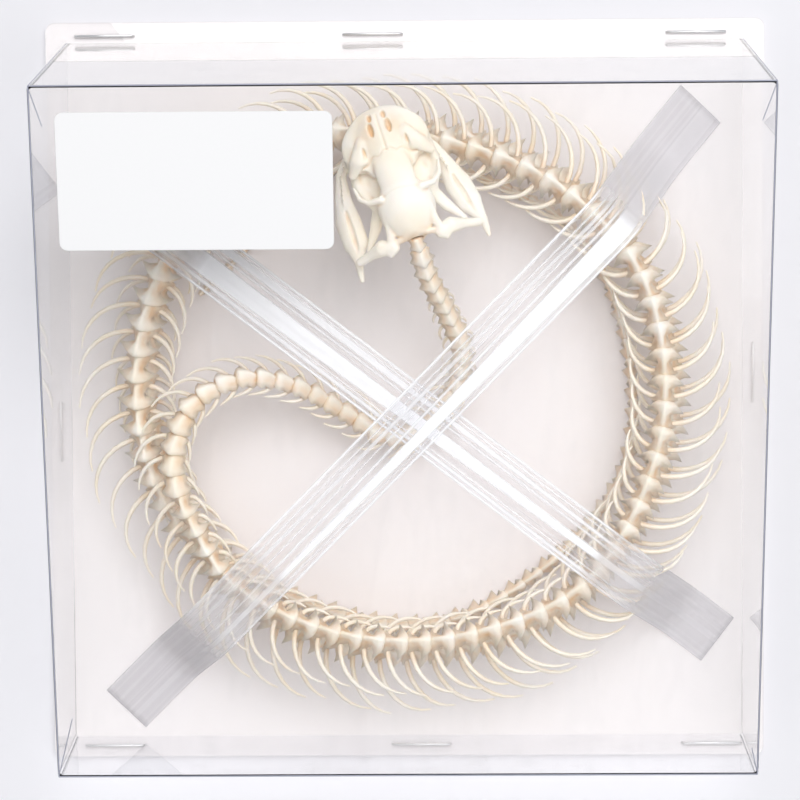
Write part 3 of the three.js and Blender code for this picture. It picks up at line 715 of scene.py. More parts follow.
def seat_and_line_tree():
    """Geometry Nodes tree shared by bones, teeth, staples and folds."""
    name = "Seats and lines"
    if name in bpy.data.node_groups:
        return bpy.data.node_groups[name]
    tree = bpy.data.node_groups.new(name, "GeometryNodeTree")
    inputs = (
        ("Geometry", "NodeSocketGeometry"),
        ("Shape", "NodeSocketObject"),
        ("Line Sides", "NodeSocketInt"),
        ("Material", "NodeSocketMaterial"),
    )
    for title, kind in inputs:
        tree.interface.new_socket(title, in_out="INPUT", socket_type=kind)
    tree.interface.new_socket("Geometry", in_out="OUTPUT", socket_type="NodeSocketGeometry")
    start = tree.nodes.new("NodeGroupInput")
    end = tree.nodes.new("NodeGroupOutput")

    def add(kind, **links):
        node = tree.nodes.new(kind)
        for title, source in links.items():
            tree.links.new(source, node.inputs[title.replace("_", " ")])
        return node

    def read(title, kind):
        node = tree.nodes.new("GeometryNodeInputNamedAttribute")
        node.data_type = kind
        node.inputs["Name"].default_value = title
        return next(socket for socket in node.outputs if socket.enabled)

    geometry = start.outputs["Geometry"]
    seats = add("GeometryNodeSeparateGeometry", Geometry=geometry, Selection=read("seat", "BOOLEAN"))
    lines = add(
        "GeometryNodeSeparateGeometry", Geometry=seats.outputs["Inverted"], Selection=read("line", "BOOLEAN")
    )
    shape = add("GeometryNodeObjectInfo", Object=start.outputs["Shape"])
    copies = add(
        "GeometryNodeInstanceOnPoints",
        Points=seats.outputs["Selection"],
        Instance=shape.outputs["Geometry"],
        Rotation=read("turn", "FLOAT_VECTOR"),
        Scale=read("size", "FLOAT_VECTOR"),
    )
    curves = add("GeometryNodeMeshToCurve", Mesh=lines.outputs["Selection"])
    sized = add("GeometryNodeSetCurveRadius", Curve=curves.outputs["Curve"], Radius=read("thick", "FLOAT"))
    section = add("GeometryNodeCurvePrimitiveCircle", Resolution=start.outputs["Line Sides"])
    section.inputs["Radius"].default_value = 1.0
    rods = add(
        "GeometryNodeCurveToMesh", Curve=sized.outputs["Curve"], Profile_Curve=section.outputs["Curve"]
    )
    rods.inputs["Fill Caps"].default_value = True
    if "Scale" in rods.inputs:
        tree.links.new(read("thick", "FLOAT"), rods.inputs["Scale"])
    joined = add("GeometryNodeJoinGeometry")
    for source in (rods.outputs["Mesh"], copies.outputs["Instances"], lines.outputs["Inverted"]):
        tree.links.new(source, joined.inputs["Geometry"])
    real = add("GeometryNodeRealizeInstances", Geometry=joined.outputs["Geometry"])
    smooth = add("GeometryNodeSetShadeSmooth", Geometry=real.outputs["Geometry"])
    finished = add(
        "GeometryNodeSetMaterial", Geometry=smooth.outputs["Geometry"], Material=start.outputs["Material"]
    )
    tree.links.new(finished.outputs["Geometry"], end.inputs["Geometry"])
    return tree


def new_template(name, points, faces, stains):
    """Small shape that seats copy, in units of the seat's size."""
    mesh = bpy.data.meshes.new(name)
    mesh.from_pydata(np.asarray(points).tolist(), [], [list(map(int, face)) for face in faces])
    mesh.attributes.new("stain", "FLOAT", "POINT").data.foreach_set("value", np.asarray(stains, float))
    template = bpy.data.objects.new(name, mesh)
    bpy.context.scene.collection.objects.link(template)
    return template


def drop(template):
    mesh = template.data
    bpy.data.objects.remove(template)
    bpy.data.meshes.remove(mesh)


# Spine


def vertebra_template(name, table):
    """Vertebra one long, one half width wide each way: side is x, tailward is y, back is z."""
    rings = []
    stains = []
    for place, body, keel, wing, wing_up, wing_lean, arch, arch_up, crest, crest_up, stain in table:
        half = [
            (body, place, keel * 0.75, 0.9),
            (wing * 0.72, place + 0.3 * wing_lean, wing_up - 0.12, 0.7),
            (wing, place + wing_lean, wing_up, 0.25),
            (arch, place, arch_up, 0.55),
            (crest, place, crest_up, 0.0),
        ]
        ring = [(0, place, keel, 0.9), *half, *[(-x, y, z, s) for x, y, z, s in reversed(half)]]
        rings.append(np.array([point[:3] for point in ring]))
        stains.extend(min(1.0, 0.55 * point[3] + stain * (0.2 + 0.8 * point[3])) for point in ring)
    points, faces = loft(rings)
    return new_template(name, points, faces, stains)


class Spine:
    """Smooth route of the spine from the skull to the tip of the tail."""

    def __init__(self):
        coil = [
            (
                COIL_CENTRE[0] + radius * math.cos(math.radians(angle)),
                COIL_CENTRE[1] + radius * math.sin(math.radians(angle)),
                height,
                lean,
            )
            for angle, radius, height, lean in COIL_STATIONS
        ]
        stations = np.array([*NECK_STATIONS, *coil], float)
        self.points = centripetal_curve(stations[:, :3], STEPS_PER_STATION)
        steps = np.linalg.norm(np.diff(self.points, axis=0), axis=1)
        self.distance = np.concatenate([[0], np.cumsum(steps)])
        self.length = self.distance[-1]
        places = np.arange(len(self.points)) / STEPS_PER_STATION
        self.lean = np.interp(places, np.arange(len(stations)), stations[:, 3])

    def point_at(self, distance):
        return np.array([np.interp(distance, self.distance, column) for column in self.points.T])

    def place_at(self, distance):
        """Point, then side, tailward and back directions."""
        distance = min(max(distance, 0.0), self.length)
        tail = self.point_at(min(distance + 0.6, self.length)) - self.point_at(max(distance - 0.6, 0))
        tail /= np.linalg.norm(tail)
        lean = math.radians(np.interp(distance, self.distance, self.lean))
        outward = np.array([tail[1], -tail[0], 0])
        outward /= np.linalg.norm(outward)
        back = np.array([0, 0, math.cos(lean)]) + outward * math.sin(lean)
        back -= tail * back.dot(tail)
        back /= np.linalg.norm(back)
        return self.point_at(distance), np.cross(tail, back), tail, back

    def nodes(self):
        """Names of the spine's lengths, each with its vertebrae as start and end along the spine."""
        solids = {"neck": [], "trunk": [], "tail": []}
        start = 0.0
        while start < self.length - SPINE_REST:
            end = min(start + look_up(SOLID_PITCH, start), self.length)
            region = "neck" if start < NECK_END else "trunk" if start < TRUNK_END else "tail"
            solids[region].append((start, end))
            start = end
        for region, own in solids.items():
            count = math.ceil(len(own) / SOLIDS_PER_NODE[region])
            for n in range(count):
                first = math.floor(n * len(own) / count + 0.5)
                last = math.floor((n + 1) * len(own) / count + 0.5)
                vertebrae = []
                for low, high in own[first:last]:
                    marks = np.linspace(low, high, VERTEBRAE_PER_SOLID + 1)
                    vertebrae.extend(zip(marks[:-1], marks[1:]))
                yield f"{region}_{n + 1}", region, vertebrae


def strap_height(point, margin):
    """Lowest strap above a place, or a great height where there is none."""
    ceiling = 1000.0
    for name, plan in STRAPS.items():
        heights = strap_heights(name)
        for (x0, y0), (x1, y1), z0, z1 in zip(plan, plan[1:], heights, heights[1:]):
            length = math.hypot(x1 - x0, y1 - y0)
            ux, uy = (x1 - x0) / length, (y1 - y0) / length
            along = (point[0] - x0) * ux + (point[1] - y0) * uy
            off = abs((point[0] - x0) * uy - (point[1] - y0) * ux)
            if -margin < along < length + margin and off < STRAP_WIDTH / 2 + margin:
                share = min(max(along / length, 0), 1)
                ceiling = min(ceiling, z0 + (z1 - z0) * share)
    return ceiling


def rib_line(spine, start, length, flank, random):
    """Curved rib: out from the side of its vertebra, then round to the tail, drooping to its tip."""
    distance = start + RIB_ROOT_ALONG * length
    point, side, tail, back = spine.place_at(distance)
    half_width = look_up(HALF_WIDTH, distance)
    reach = look_up(RIB_REACH, distance) * random.uniform(0.94, 1.05)
    width = reach * look_up(INNER_REACH, distance) if flank < 0 else reach
    root = RIB_ROOT_SIDE * half_width
    first = math.radians(RIB_START_ANGLE)
    last = math.radians(RIB_END_ANGLE + random.uniform(-8, 8))
    sweep = RIB_SWEEP * (0.3 * reach + 0.7 * width) * random.uniform(0.92, 1.1)
    line = []
    for step in np.linspace(0, 1, RIB_STEPS):
        angle = first + (last - first) * step
        sideways = root + (width - root) * (math.sin(angle) - math.sin(first)) / (1 - math.sin(first))
        tailward = sweep * (math.cos(first) - math.cos(angle))
        droop = RIB_ROOT_DROP * half_width + RIB_DROOP * reach * step**1.6
        place = point + side * flank * sideways + tail * tailward - back * droop
        if distance > NECK_END:
            place[2] = min(max(place[2], point[2] - RIB_BELOW), point[2] + RIB_ABOVE)
        place[2] = min(place[2], strap_height(place, RIB_CLEARANCE) - RIB_CLEARANCE)
        place[2] = max(place[2], RIB_CLEARANCE)
        line.append(place)
    return line


class SNAKE_OT_spine(bpy.types.Operator):
    """Vertebrae and ribs of the neck, trunk and tail, one piece for each length of the spine"""

    bl_idname = "snake.spine"
    bl_label = "Spine and Ribs"

    def execute(self, context):
        bones = context.scene.snake_bones
        random = np.random.default_rng(bones.seed)
        spine = Spine()
        material = bone_material(bones)
        shapes = {
            "neck": vertebra_template("neck_vertebra", NECK_RINGS),
            "trunk": vertebra_template("trunk_vertebra", TRUNK_RINGS),
            "tail": vertebra_template("tail_vertebra", TAIL_RINGS),
        }
        along = np.linspace(0, 1, RIB_STEPS)
        radii = np.interp(along, [0, 0.6, 1], [bones.rib_root, bones.rib_root * 0.8, bones.rib_tip])
        stains = np.interp(along, [0, 0.25, 1], [0.5, 0.12, 0.05])
        for name, region, vertebrae in spine.nodes():
            draft = Draft()
            if vertebrae[0][0] == 0:
                point, side, tailward, back = spine.place_at(0)
                atlas = point - tailward * ATLAS_LENGTH
                draft.add_seat(atlas, (side, tailward, back), (1.9, ATLAS_LENGTH, 1.7))
            for start, end in vertebrae:
                point, side, tailward, back = spine.place_at(start)
                half_width = look_up(HALF_WIDTH, start)
                draft.add_seat(point, (side, tailward, back), (half_width, end - start, half_width))
                if region == "tail" or look_up(RIB_REACH, start) < half_width:
                    continue
                thin = min(1.0, look_up(RIB_REACH, start) / 10)
                for flank in (-1, 1):
                    line = rib_line(spine, start, end - start, flank, random)
                    draft.add_line(line, radii * (0.55 + 0.45 * thin), stains)
            piece = draft.make(f"bones_{name}", shapes[region], bones.rib_sides, material)
            settle(piece, "bone", name)
        for shape in shapes.values():
            drop(shape)
        return {"FINISHED"}


# Skull and jaws


def egg_field(place, forward, right, up, half_length, half_width, half_height):
    """Distance to a rounded block, roughly, below zero inside it."""
    halves = np.array([half_length, half_width, half_height])
    offset = place - np.array([forward, right, up])
    near = np.linalg.norm(offset / halves, axis=-1)
    slope = np.linalg.norm(offset / halves**2, axis=-1) + 1e-9
    return near * (near - 1) / slope


def bar_field(place, points, flatness):
    """Distance to a bar of bone through points with their own radii, flattened from above."""
    stretch = np.array([1, 1, 1 / flatness])
    best = np.full(place.shape[:-1], 1e3)
    for start, end in zip(points, points[1:]):
        first = np.array(start[:3]) * stretch
        step = np.array(end[:3]) * stretch - first
        offset = place * stretch - first
        share = np.clip(offset @ step / step.dot(step), 0, 1)
        radius = start[3] + (end[3] - start[3]) * share
        best = np.minimum(best, np.linalg.norm(offset - share[..., None] * step, axis=-1) - radius)
    return best * flatness**0.5


def melt(first, second, reach):
    """Union of two fields with a soft fillet."""
    share = np.clip(0.5 + 0.5 * (second - first) / reach, 0, 1)
    return second * (1 - share) + first * share - reach * share * (1 - share)


def carve(body, hole, reach):
    return -melt(-body, hole, reach)


def field_skin(field, low, high, cell):
    """Closed skin where a field crosses zero, one point for each cell that it passes through."""
    counts = [int(math.ceil((h - l) / cell)) + 1 for l, h in zip(low, high)]
    axes = [l + cell * np.arange(n) for l, n in zip(low, counts)]
    values = field(np.stack(np.meshgrid(*axes, indexing="ij"), axis=-1))
    cells = np.array(values.shape) - 1
    total = np.zeros((cells.prod(), 3))
    count = np.zeros(cells.prod())
    quads = []
    for axis in range(3):
        second, third = (axis + 1) % 3, (axis + 2) % 3
        lower = values[tuple(slice(0, -1) if i == axis else slice(None) for i in range(3))]
        upper = values[tuple(slice(1, None) if i == axis else slice(None) for i in range(3))]
        crossing = np.argwhere((lower < 0) != (upper < 0))
        here, there = lower[tuple(crossing.T)], upper[tuple(crossing.T)]
        spot = crossing.astype(float)
        spot[:, axis] += here / (here - there)
        corners = []
        for back_second, back_third in ((0, 0), (1, 0), (1, 1), (0, 1)):
            cell_index = crossing.copy()
            cell_index[:, second] -= back_second
            cell_index[:, third] -= back_third
            flat = np.ravel_multi_index(cell_index.T, cells)
            np.add.at(total, flat, spot)
            np.add.at(count, flat, 1)
            corners.append(flat)
        quad = np.stack(corners, axis=1)
        quads.append(np.where((here < 0)[:, None], quad, quad[:, ::-1]))
    used = np.flatnonzero(count)
    renumber = np.full(len(count), -1)
    renumber[used] = np.arange(len(used))
    points = np.array(low) + cell * total[used] / count[used][:, None]
    return points, renumber[np.vstack(quads)]


def hollow_stain(points, faces):
    """Stain from 0 on ridges to 1 in hollows, from how each point lies among its neighbours."""
    corner = points[faces]
    normal = np.cross(corner[:, 2] - corner[:, 0], corner[:, 3] - corner[:, 1])
    normals = np.zeros_like(points)
    pairs = np.vstack([faces[:, [k, (k + 1) % 4]] for k in range(4)])
    for k in range(4):
        np.add.at(normals, faces[:, k], normal)
    normals /= np.linalg.norm(normals, axis=1, keepdims=True) + 1e-12
    degree = np.bincount(pairs[:, 0], minlength=len(points))[:, None] + 1e-9

    def around(values):
        spread = np.zeros((len(points), values.shape[1]))
        np.add.at(spread, pairs[:, 0], values[pairs[:, 1]])
        return spread / degree

    middle = around(around(points))
    depth = np.einsum("ij,ij->i", middle - points, normals)[:, None]
    for _ in range(4):
        depth = around(depth)
    return np.clip(0.06 + depth[:, 0] / (0.35 * SKULL_CELL), 0, 1)


def skull_field(place):
    """The skull without its jaws: both flanks are alike."""
    folded = place.copy()
    folded[..., 1] = np.abs(folded[..., 1])
    body = None
    for forward, up, *halves in SKULL_BLOCKS.values():
        block = egg_field(folded, forward, 0, up, *halves)
        body = block if body is None else melt(body, block, 1.1)
    for flatness, points in SKULL_BARS.values():
        body = melt(body, bar_field(folded, points, flatness), 0.45)
    for hole in SKULL_HOLES.values():
        body = carve(body, egg_field(folded, *hole), 0.3)
    forward, right, up = folded[..., 0], folded[..., 1], folded[..., 2]
    above = up > 0

    def seam(offset, where):
        return SEAM_DEPTH * np.exp(-((offset / SEAM_WIDTH) ** 2)) * where

    body = body + seam(right, above & (forward > NASAL_SEAM) & (forward < 25.5))
    wavy = NASAL_SEAM + 0.3 * np.sin(2.4 * right) - 0.06 * right**2
    body = body + seam(forward - wavy, above & (right < 6))
    curved = PARIETAL_SEAM - 0.04 * right**2
    body = body + 0.4 * seam(forward - curved, above & (right < 5))
    return body


def jaw_field(points, groove):
    def field(place):
        return carve(bar_field(place, points, JAW_FLATNESS), bar_field(place, groove, 1.0), 0.35)

    return field


def on_skull(points):
    """Forward, right and up from the back of the skull, as places above the card."""
    turn = (
        Matrix.Rotation(math.radians(SKULL_HEADING), 3, "Z")
        @ Matrix.Rotation(math.radians(SKULL_PITCH), 3, "X")
        @ Matrix.Rotation(math.radians(SKULL_ROLL), 3, "Y")
    )
    swapped = np.asarray(points, float)[..., [1, 0, 2]]
    return swapped @ np.array(turn).T + np.array(SKULL_PLACE), np.array(turn)


def tooth_template():
    """Slender tooth one long, curving back from its root."""
    rings = []
    for share, radius in ((-0.15, 0.16), (0.2, 0.15), (0.6, 0.09), (1.0, 0.015)):
        turns = np.arange(5) * math.tau / 5
        lean = -0.25 * share**2
        ring = [radius * np.cos(turns), lean + radius * np.sin(turns), np.full(5, share)]
        rings.append(np.stack(ring, axis=1))
    points, faces = loft(rings)
    return new_template("tooth", points, faces, np.full(len(points), 0.05))


def add_teeth(draft, points, row, flank=1):
    """Row of teeth along a bone, leaning towards the throat."""
    first, last, count, length, pointing = row
    line = np.array(points, float)
    line[:, 1] *= flank
    steps = np.linalg.norm(np.diff(line[:, :3], axis=0), axis=1)
    along = np.concatenate([[0], np.cumsum(steps)]) / steps.sum()
    for share in np.linspace(first, last, count):
        root = np.array([np.interp(share, along, line[:, k]) for k in range(3)])
        radius = np.interp(share, along, line[:, 3])
        root[2] += pointing * radius * 0.7
        place, turn = on_skull(root)
        lean = math.radians(TOOTH_LEAN)
        up = turn @ np.array([0, -math.sin(lean), pointing * math.cos(lean)])
        forward = turn @ np.array([0, math.cos(lean), pointing * math.sin(lean)])
        draft.add_seat(place, (np.cross(forward, up), forward, up), (length, length, length))


def add_field(draft, field, points, margin):
    """Adds the skin of a field round the given points, stained in hollows, at the joint and at the nose."""
    reach = np.array([point[:3] for point in points])
    corners, faces = field_skin(field, reach.min(0) - margin, reach.max(0) + margin, SKULL_CELL)
    stain = hollow_stain(corners, faces)
    forward, right = corners[:, 0], corners[:, 1]
    joint = 0.6 * np.exp(-(((forward + 1.4) / 1.5) ** 2)) * np.exp(-((right / 4) ** 4))
    nose = 0.4 * np.exp(-(((forward - 22.6) / 2.2) ** 2)) * np.exp(-(((np.abs(right) - 2.8) / 1.4) ** 2))
    draft.add_skin(on_skull(corners)[0], faces, np.clip(stain + joint + nose, 0, 1))


class SNAKE_OT_skull(bpy.types.Operator):
    """Skull and the two lower jaws, each with its teeth"""

    bl_idname = "snake.skull"
    bl_label = "Skull and Jaws"

    def execute(self, context):
        material = bpy.data.materials["dry_bone"]
        tooth = tooth_template()
        draft = Draft()
        reach = [point for _, points in SKULL_BARS.values() for point in points]
        reach += [(f, -r, u, w) for f, r, u, w in reach]
        add_field(draft, skull_field, [*reach, (27.2, 0, 4.4), (-2.4, 0, -4)], 1.6)
        for bone in ("maxilla", "palatine", "pterygoid"):
            for flank in (-1, 1):
                add_teeth(draft, SKULL_BARS[bone][1], TOOTH_ROWS[bone], flank)
        settle(draft.make("skull_bones", tooth, 5, material), "bone", "skull")
        for name, (points, groove) in JAWS.items():
            draft = Draft()
            add_field(draft, jaw_field(points, groove), points, 2.4)
            add_teeth(draft, points, TOOTH_ROWS["jaw"])
            settle(draft.make(f"{name}_bone", tooth, 5, material), "bone", name)
        drop(tooth)
        return {"FINISHED"}


# Card, cover, label and staples


def rounded_ring(half_x, low, high, low_height, high_height, radius):
    """Rounded rectangle in the plan, rising evenly from its low end to its high end."""
    ring = []
    for corner, (sx, sy) in enumerate(((-1, -1), (1, -1), (1, 1), (-1, 1))):
        centre_x = sx * (half_x - radius)
        centre_y = low + radius if sy < 0 else high - radius
        for k in range(CORNER_STEPS + 1):
            turn = math.radians(180 + 90 * corner + 90 * k / CORNER_STEPS)
            x = centre_x + radius * math.cos(turn)
            y = centre_y + radius * math.sin(turn)
            rise = (y - low) / (high - low)
            ring.append((x, y, low_height + (high_height - low_height) * rise))
    return np.array(ring)


def slope_height(y):
    low = -COVER_LENGTH / 2 - COVER_LOW_LEAN
    high = COVER_LENGTH / 2 - COVER_HIGH_LEAN
    return COVER_LOW + (COVER_HIGH - COVER_LOW) * (y - low) / (high - low)


def cover_ring(inset, top):
    """Ring of the cover's wall, drawn in by an inset, at the sloping sheet or at the card."""
    half_x = COVER_WIDTH / 2 - inset
    low = -COVER_LENGTH / 2 + inset
    high = COVER_LENGTH / 2 - inset
    if not top:
        return rounded_ring(half_x, low, high, COVER_LIFT, COVER_LIFT, COVER_CORNER)
    return rounded_ring(
        half_x,
        low - COVER_LOW_LEAN,
        high - COVER_HIGH_LEAN,
        COVER_LOW - inset,
        COVER_HIGH - inset,
        COVER_CORNER,
    )


class SNAKE_OT_card(bpy.types.Operator):
    """Finish of the white card"""

    bl_idname = "snake.card"
    bl_label = "Card"

    def execute(self, context):
        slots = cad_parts["card"].material_slots
        slots[0].material = card_material(context.scene.snake_case)
        return {"FINISHED"}


class SNAKE_OT_cover(bpy.types.Operator):
    """Clear folded cover with its flange, and thin rods of painted shade along its folds"""

    bl_idname = "snake.cover"
    bl_label = "Clear Cover"

    def execute(self, context):
        case = context.scene.snake_case
        half_x = COVER_WIDTH / 2 + COVER_FLANGE
        half_y = COVER_LENGTH / 2 + COVER_FLANGE
        top = COVER_LIFT + COVER_SHEET
        rings = [
            cover_ring(COVER_SHEET, True),
            cover_ring(COVER_SHEET, False),
            rounded_ring(half_x, -half_y, half_y, COVER_LIFT, COVER_LIFT, FLANGE_CORNER),
            rounded_ring(half_x, -half_y, half_y, top, top, FLANGE_CORNER),
            cover_ring(0, False) + (0, 0, COVER_SHEET),
            cover_ring(0, True),
        ]
        points, faces = loft(rings)
        cover = new_piece("clear_cover", points, faces, sheet_material(case), smooth=False)
        settle(cover, "clear_cover", "cover")
        # The fold rods are painted shade: a dark, bluish line where light bends through each fold
        folds = self.fold_lines().make("cover_folds", None, 8, fold_shade_material(case))
        settle(folds, "clear_cover")
        return {"FINISHED"}

    def fold_lines(self):
        draft = Draft()
        x = COVER_WIDTH / 2 - COVER_CORNER * FOLD_INSET
        low = -COVER_LENGTH / 2
        high = COVER_LENGTH / 2
        top_low = (low - COVER_LOW_LEAN, COVER_LOW)
        top_high = (high - COVER_HIGH_LEAN, COVER_HIGH)
        radius = FOLD_RADIUS * MM
        corners = [(-x, *top_low), (x, *top_low), (x, *top_high), (-x, *top_high)]
        for start, end in zip(corners, corners[1:] + corners[:1]):
            draft.add_line([start, end], radius, 0)
        base = COVER_LIFT + COVER_SHEET
        for side in (-1, 1):
            draft.add_line([(side * x, low, base), (side * x, *top_low)], radius * WALL_FOLD, 0)
            draft.add_line([(side * x, high, base), (side * x, *top_high)], radius * WALL_FOLD, 0)
        for (side, end), (inward, along) in GUSSETS:
            y = top_high[0] if end > 0 else top_low[0]
            start = (side * x, y - end * GUSSET_INSET, slope_height(y) - COVER_SHEET)
            inner = y - end * along
            tip = (side * (x - inward), inner, slope_height(inner) - COVER_SHEET)
            draft.add_line([start, tip], radius * WALL_FOLD, 0)
        return draft


class SNAKE_OT_label(bpy.types.Operator):
    """Blank white label on the sloping sheet"""

    bl_idname = "snake.label"
    bl_label = "Blank Label"

    def execute(self, context):
        slope = math.atan2(slope_height(1) - slope_height(0), 1)
        half_x, half_y = LABEL_SIZE[0] / 2, LABEL_SIZE[1] / 2
        heights = ((0, LABEL_EDGE), (LABEL_EDGE, 0), (LABEL_THICK - LABEL_EDGE, 0), (LABEL_THICK, LABEL_EDGE))
        rings = []
        for height, inset in heights:
            ring = rounded_ring(
                half_x - inset, -half_y + inset, half_y - inset, height, height, LABEL_CORNER - inset
            )
            turn = np.array(Matrix.Rotation(slope, 3, "X"))
            seat = (*LABEL_PLACE, slope_height(LABEL_PLACE[1]) + LABEL_GAP)
            rings.append(ring @ turn.T + np.array(seat))
        points, faces = loft(rings)
        paper = label_material(context.scene.snake_case)
        piece = new_piece("blank_label", points, faces, paper, smooth=False)
        settle(piece, "label", "label")
        return {"FINISHED"}


class SNAKE_OT_staples(bpy.types.Operator):
    """Wire staples through the flange of the cover"""

    bl_idname = "snake.staples"
    bl_label = "Staples"

    def execute(self, context):
        draft = Draft()
        flange_top = COVER_LIFT + COVER_SHEET
        for x, y, angle in STAPLES:
            turn = math.radians(angle)
            along = np.array([math.cos(turn), math.sin(turn), 0])
            middle = np.array([x, y, flange_top + STAPLE_WIRE * 0.9])
            half = STAPLE_WIDTH / 2
            drops = (
                (-half, -STAPLE_LEG),
                (-half + 0.05, -0.25),
                (-half + STAPLE_BEND, 0),
                (half - STAPLE_BEND, 0),
                (half - 0.05, -0.25),
                (half, -STAPLE_LEG),
            )
            line = [middle + along * offset + (0, 0, drop_by) for offset, drop_by in drops]
            draft.add_line(line, STAPLE_WIRE * MM, 0)
        piece = draft.make("staples", None, 8, steel_material(context.scene.snake_case))
        settle(piece, "clear_cover")
        return {"FINISHED"}


# Straps


def strap_heights(name):
    span = STRAP_SPAN + (STRAP_LIFT if name == "strap_rising" else 0)
    return [STRAP_ON_CARD, STRAP_ON_CARD, span, span, STRAP_ON_CARD, STRAP_ON_CARD]


def strap_line(name):
    """Middle line of a strap, with its bends rounded."""
    corners = np.array([(*spot, height) for spot, height in zip(STRAPS[name], strap_heights(name))])
    steps = np.linalg.norm(np.diff(corners, axis=0), axis=1)
    along = np.concatenate([[0], np.cumsum(steps)])
    marks = np.linspace(0, along[-1], STRAP_ROWS)
    line = np.stack([np.interp(marks, along, column) for column in corners.T], axis=1)
    for _ in range(STRAP_FILLET):
        line[1:-1] = (line[:-2] + 2 * line[1:-1] + line[2:]) / 4
    return line, marks / along[-1]


class SNAKE_OT_straps(bpy.types.Operator):
    """Two crossed straps of clear film, gathered in pleats over the coil"""

    bl_idname = "snake.straps"
    bl_label = "Film Straps"

    def execute(self, context):
        material = film_material(context.scene.snake_case)
        for number, name in enumerate(STRAPS):
            line, share = strap_line(name)
            bands = STRAP_HIGHLIGHT_BANDS[name]
            run_ends = STRAP_RUNS[name]
            piece = self.strap(f"film_{name}", line, share, number, bands, run_ends, material)
            settle(piece, "film", name)
        return {"FINISHED"}

    def strap(self, name, line, share, number, bands, run_ends, material):
        run = line[-1] - line[0]
        across = np.array([-run[1], run[0], 0]) / math.hypot(run[0], run[1])
        places = np.linspace(-0.5, 0.5, STRAP_COLUMNS)
        start, end, start_width, end_width = run_ends
        reach = math.dist(start, end)
        onward = np.subtract(end, start) / reach
        rings = []
        marks = []
        falls = []
        whites = []
        for i, point in enumerate(line):
            ahead = line[min(i + 1, len(line) - 1)] - line[max(i - 1, 0)]
            normal = np.cross(ahead, across)
            normal /= np.linalg.norm(normal)
            lying = min(1.0, max(0.0, (point[2] - PLEAT_START) / PLEAT_RISE))
            wave = sum(
                size * np.sin(count * math.tau * places + phase + number + 2 * share[i])
                for count, size, phase in PLEATS
            )
            middle = point + across * (places * STRAP_WIDTH)[:, None] + normal * (wave * lying)[:, None]
            upper = middle + normal * STRAP_SHEET / 2
            lower = middle - normal * STRAP_SHEET / 2
            rings.append(np.vstack([upper, lower[::-1]]))
            marks.append(np.concatenate([places + 0.5, (places + 0.5)[::-1]]))
            # Painted highlight bands across the strap, fading past the ends of their run
            white = np.zeros(STRAP_COLUMNS)
            passed = float(np.dot(point[:2] - start, onward))
            past = max(0.0, -passed, passed - reach) / RUN_FADE
            taper = start_width + (end_width - start_width) * min(1.0, max(0.0, passed / reach))
            for centre, half, strength in bands:
                drift = BAND_DRIFT * math.sin(9 * centre + 4 * share[i]) * (0.05 < centre < 0.95)
                depth = half * (taper if half > 0.03 else 1) - np.abs(places + 0.5 - centre - drift)
                white = np.maximum(white, strength * np.clip(depth / BAND_SOFTNESS + 0.5, 0, 1))
            whites.append(np.concatenate([white, white[::-1]]))
            drop_share = min(1.0, max(0.0, (STRAP_SPAN - FALL_SLACK - point[2]) / STRAP_SPAN))
            falls.append(np.full(2 * STRAP_COLUMNS, max(drop_share, min(END_FALL, END_FALL * past))))
        points, faces = loft(rings)
        piece = new_piece(name, points, faces, material)
        fall = piece.data.attributes.new("fall", "FLOAT", "POINT")
        fall.data.foreach_set("value", np.concatenate(falls))
        # The painted highlights go to the shader as a point attribute
        painted_highlight = piece.data.attributes.new("painted_highlight", "FLOAT", "POINT")
        painted_highlight.data.foreach_set("value", np.concatenate(whites))
        layer = piece.data.uv_layers.new(name="strap")
        sides = np.concatenate(marks)
        runs = np.repeat(share, 2 * STRAP_COLUMNS)
        corner = np.zeros(len(piece.data.loops), int)
        piece.data.loops.foreach_get("vertex_index", corner)
        on_film = np.stack([sides[corner] + FILM_SHIFT * number, runs[corner] * FILM_REPEATS], axis=1)
        layer.data.foreach_set("uv", on_film.ravel())
        return piece


# Stage


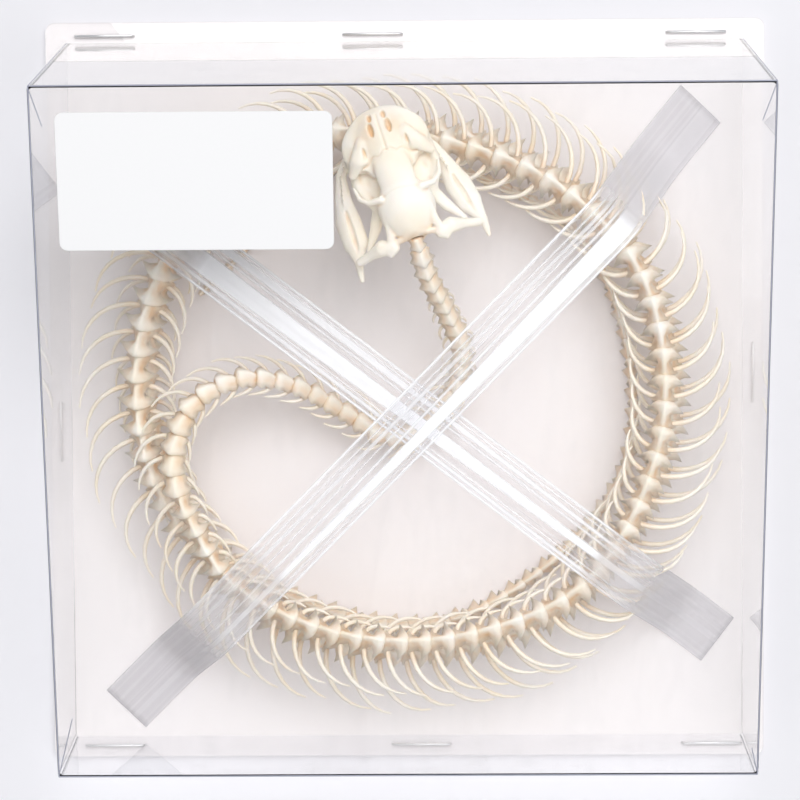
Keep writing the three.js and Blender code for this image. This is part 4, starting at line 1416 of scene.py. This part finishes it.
class SNAKE_OT_stage(bpy.types.Operator):
    """Pale floor, soft light and the camera above the case"""

    bl_idname = "snake.stage"
    bl_label = "Stage"

    def execute(self, context):
        scene = context.scene
        self.floor()
        self.world(scene)
        for name, place, size, power in LAMPS:
            self.lamp(name, place, size, power)
        data = bpy.data.cameras.new("photo_camera")
        data.lens = CAMERA_LENS
        data.sensor_width = CAMERA_SENSOR
        data.sensor_fit = "HORIZONTAL"
        data.clip_start = 0.01
        camera = bpy.data.objects.new("photo_camera", data)
        camera.rotation_mode = "ZYX"
        camera.rotation_euler = [math.radians(turn) for turn in CAMERA_TURN]
        camera.location = (Vector(CAMERA_PLACE) + Vector((0, 0, CARD_TOP))) * MM
        scene.collection.objects.link(camera)
        scene.camera = camera
        scene.view_settings.view_transform = "Standard"
        return {"FINISHED"}

    def floor(self):
        mesh = bpy.data.meshes.new("floor")
        reach = FLOOR_REACH
        corners = [(-reach, -reach, 0), (reach, -reach, 0), (reach, reach, 0), (-reach, reach, 0)]
        mesh.from_pydata(corners, [], [(0, 1, 2, 3)])
        material, tree, shader, _ = new_material("pale_floor")
        cloud = noise_node(tree, 3, 2)
        tone = blend_node(tree, cloud, *FLOOR_COLOURS)
        tree.links.new(tone, shader.inputs["Base Color"])
        shader.inputs["Roughness"].default_value = 0.7
        mesh.materials.append(material)
        floor = bpy.data.objects.new("floor", mesh)
        bpy.context.scene.collection.objects.link(floor)

    def world(self, scene):
        world = bpy.data.worlds.new("soft_room")
        world.use_nodes = True
        background = world.node_tree.nodes["Background"]
        background.inputs["Color"].default_value = ROOM_COLOUR
        background.inputs["Strength"].default_value = ROOM_STRENGTH
        scene.world = world

    def lamp(self, name, place, size, power):
        data = bpy.data.lights.new(name, "AREA")
        data.shape = "DISK"
        data.size = size
        data.energy = power
        lamp = bpy.data.objects.new(name, data)
        lamp.location = place
        lamp.rotation_euler = (Vector(LAMP_TARGET) - Vector(place)).to_track_quat("-Z", "Y").to_euler()
        bpy.context.scene.collection.objects.link(lamp)


class SNAKE_PT_panel(bpy.types.Panel):
    """Settings and makers of the skeleton and its case"""

    bl_idname = "SNAKE_PT_panel"
    bl_label = "Coiled Snake Skeleton"
    bl_space_type = "VIEW_3D"
    bl_region_type = "UI"
    bl_category = "Snake"

    def draw(self, context):
        layout = self.layout
        for settings in (context.scene.snake_bones, context.scene.snake_case):
            for name in settings.__annotations__:
                layout.prop(settings, name)
        for operator in OPERATORS:
            layout.operator(operator.bl_idname)


OPERATORS = (
    SNAKE_OT_card,
    SNAKE_OT_spine,
    SNAKE_OT_skull,
    SNAKE_OT_straps,
    SNAKE_OT_cover,
    SNAKE_OT_label,
    SNAKE_OT_staples,
    SNAKE_OT_stage,
)
CLASSES = (BoneSettings, CaseSettings, *OPERATORS, SNAKE_PT_panel)


def register():
    for cls in CLASSES:
        bpy.utils.register_class(cls)
    bpy.types.Scene.snake_bones = PointerProperty(type=BoneSettings)
    bpy.types.Scene.snake_case = PointerProperty(type=CaseSettings)


def unregister():
    del bpy.types.Scene.snake_case
    del bpy.types.Scene.snake_bones
    for cls in reversed(CLASSES):
        bpy.utils.unregister_class(cls)


def main():
    register()
    bpy.ops.snake.card()
    bpy.ops.snake.spine()
    bpy.ops.snake.skull()
    bpy.ops.snake.straps()
    bpy.ops.snake.cover()
    bpy.ops.snake.label()
    bpy.ops.snake.staples()
    bpy.ops.snake.stage()


if __name__ == "__main__":
    main()
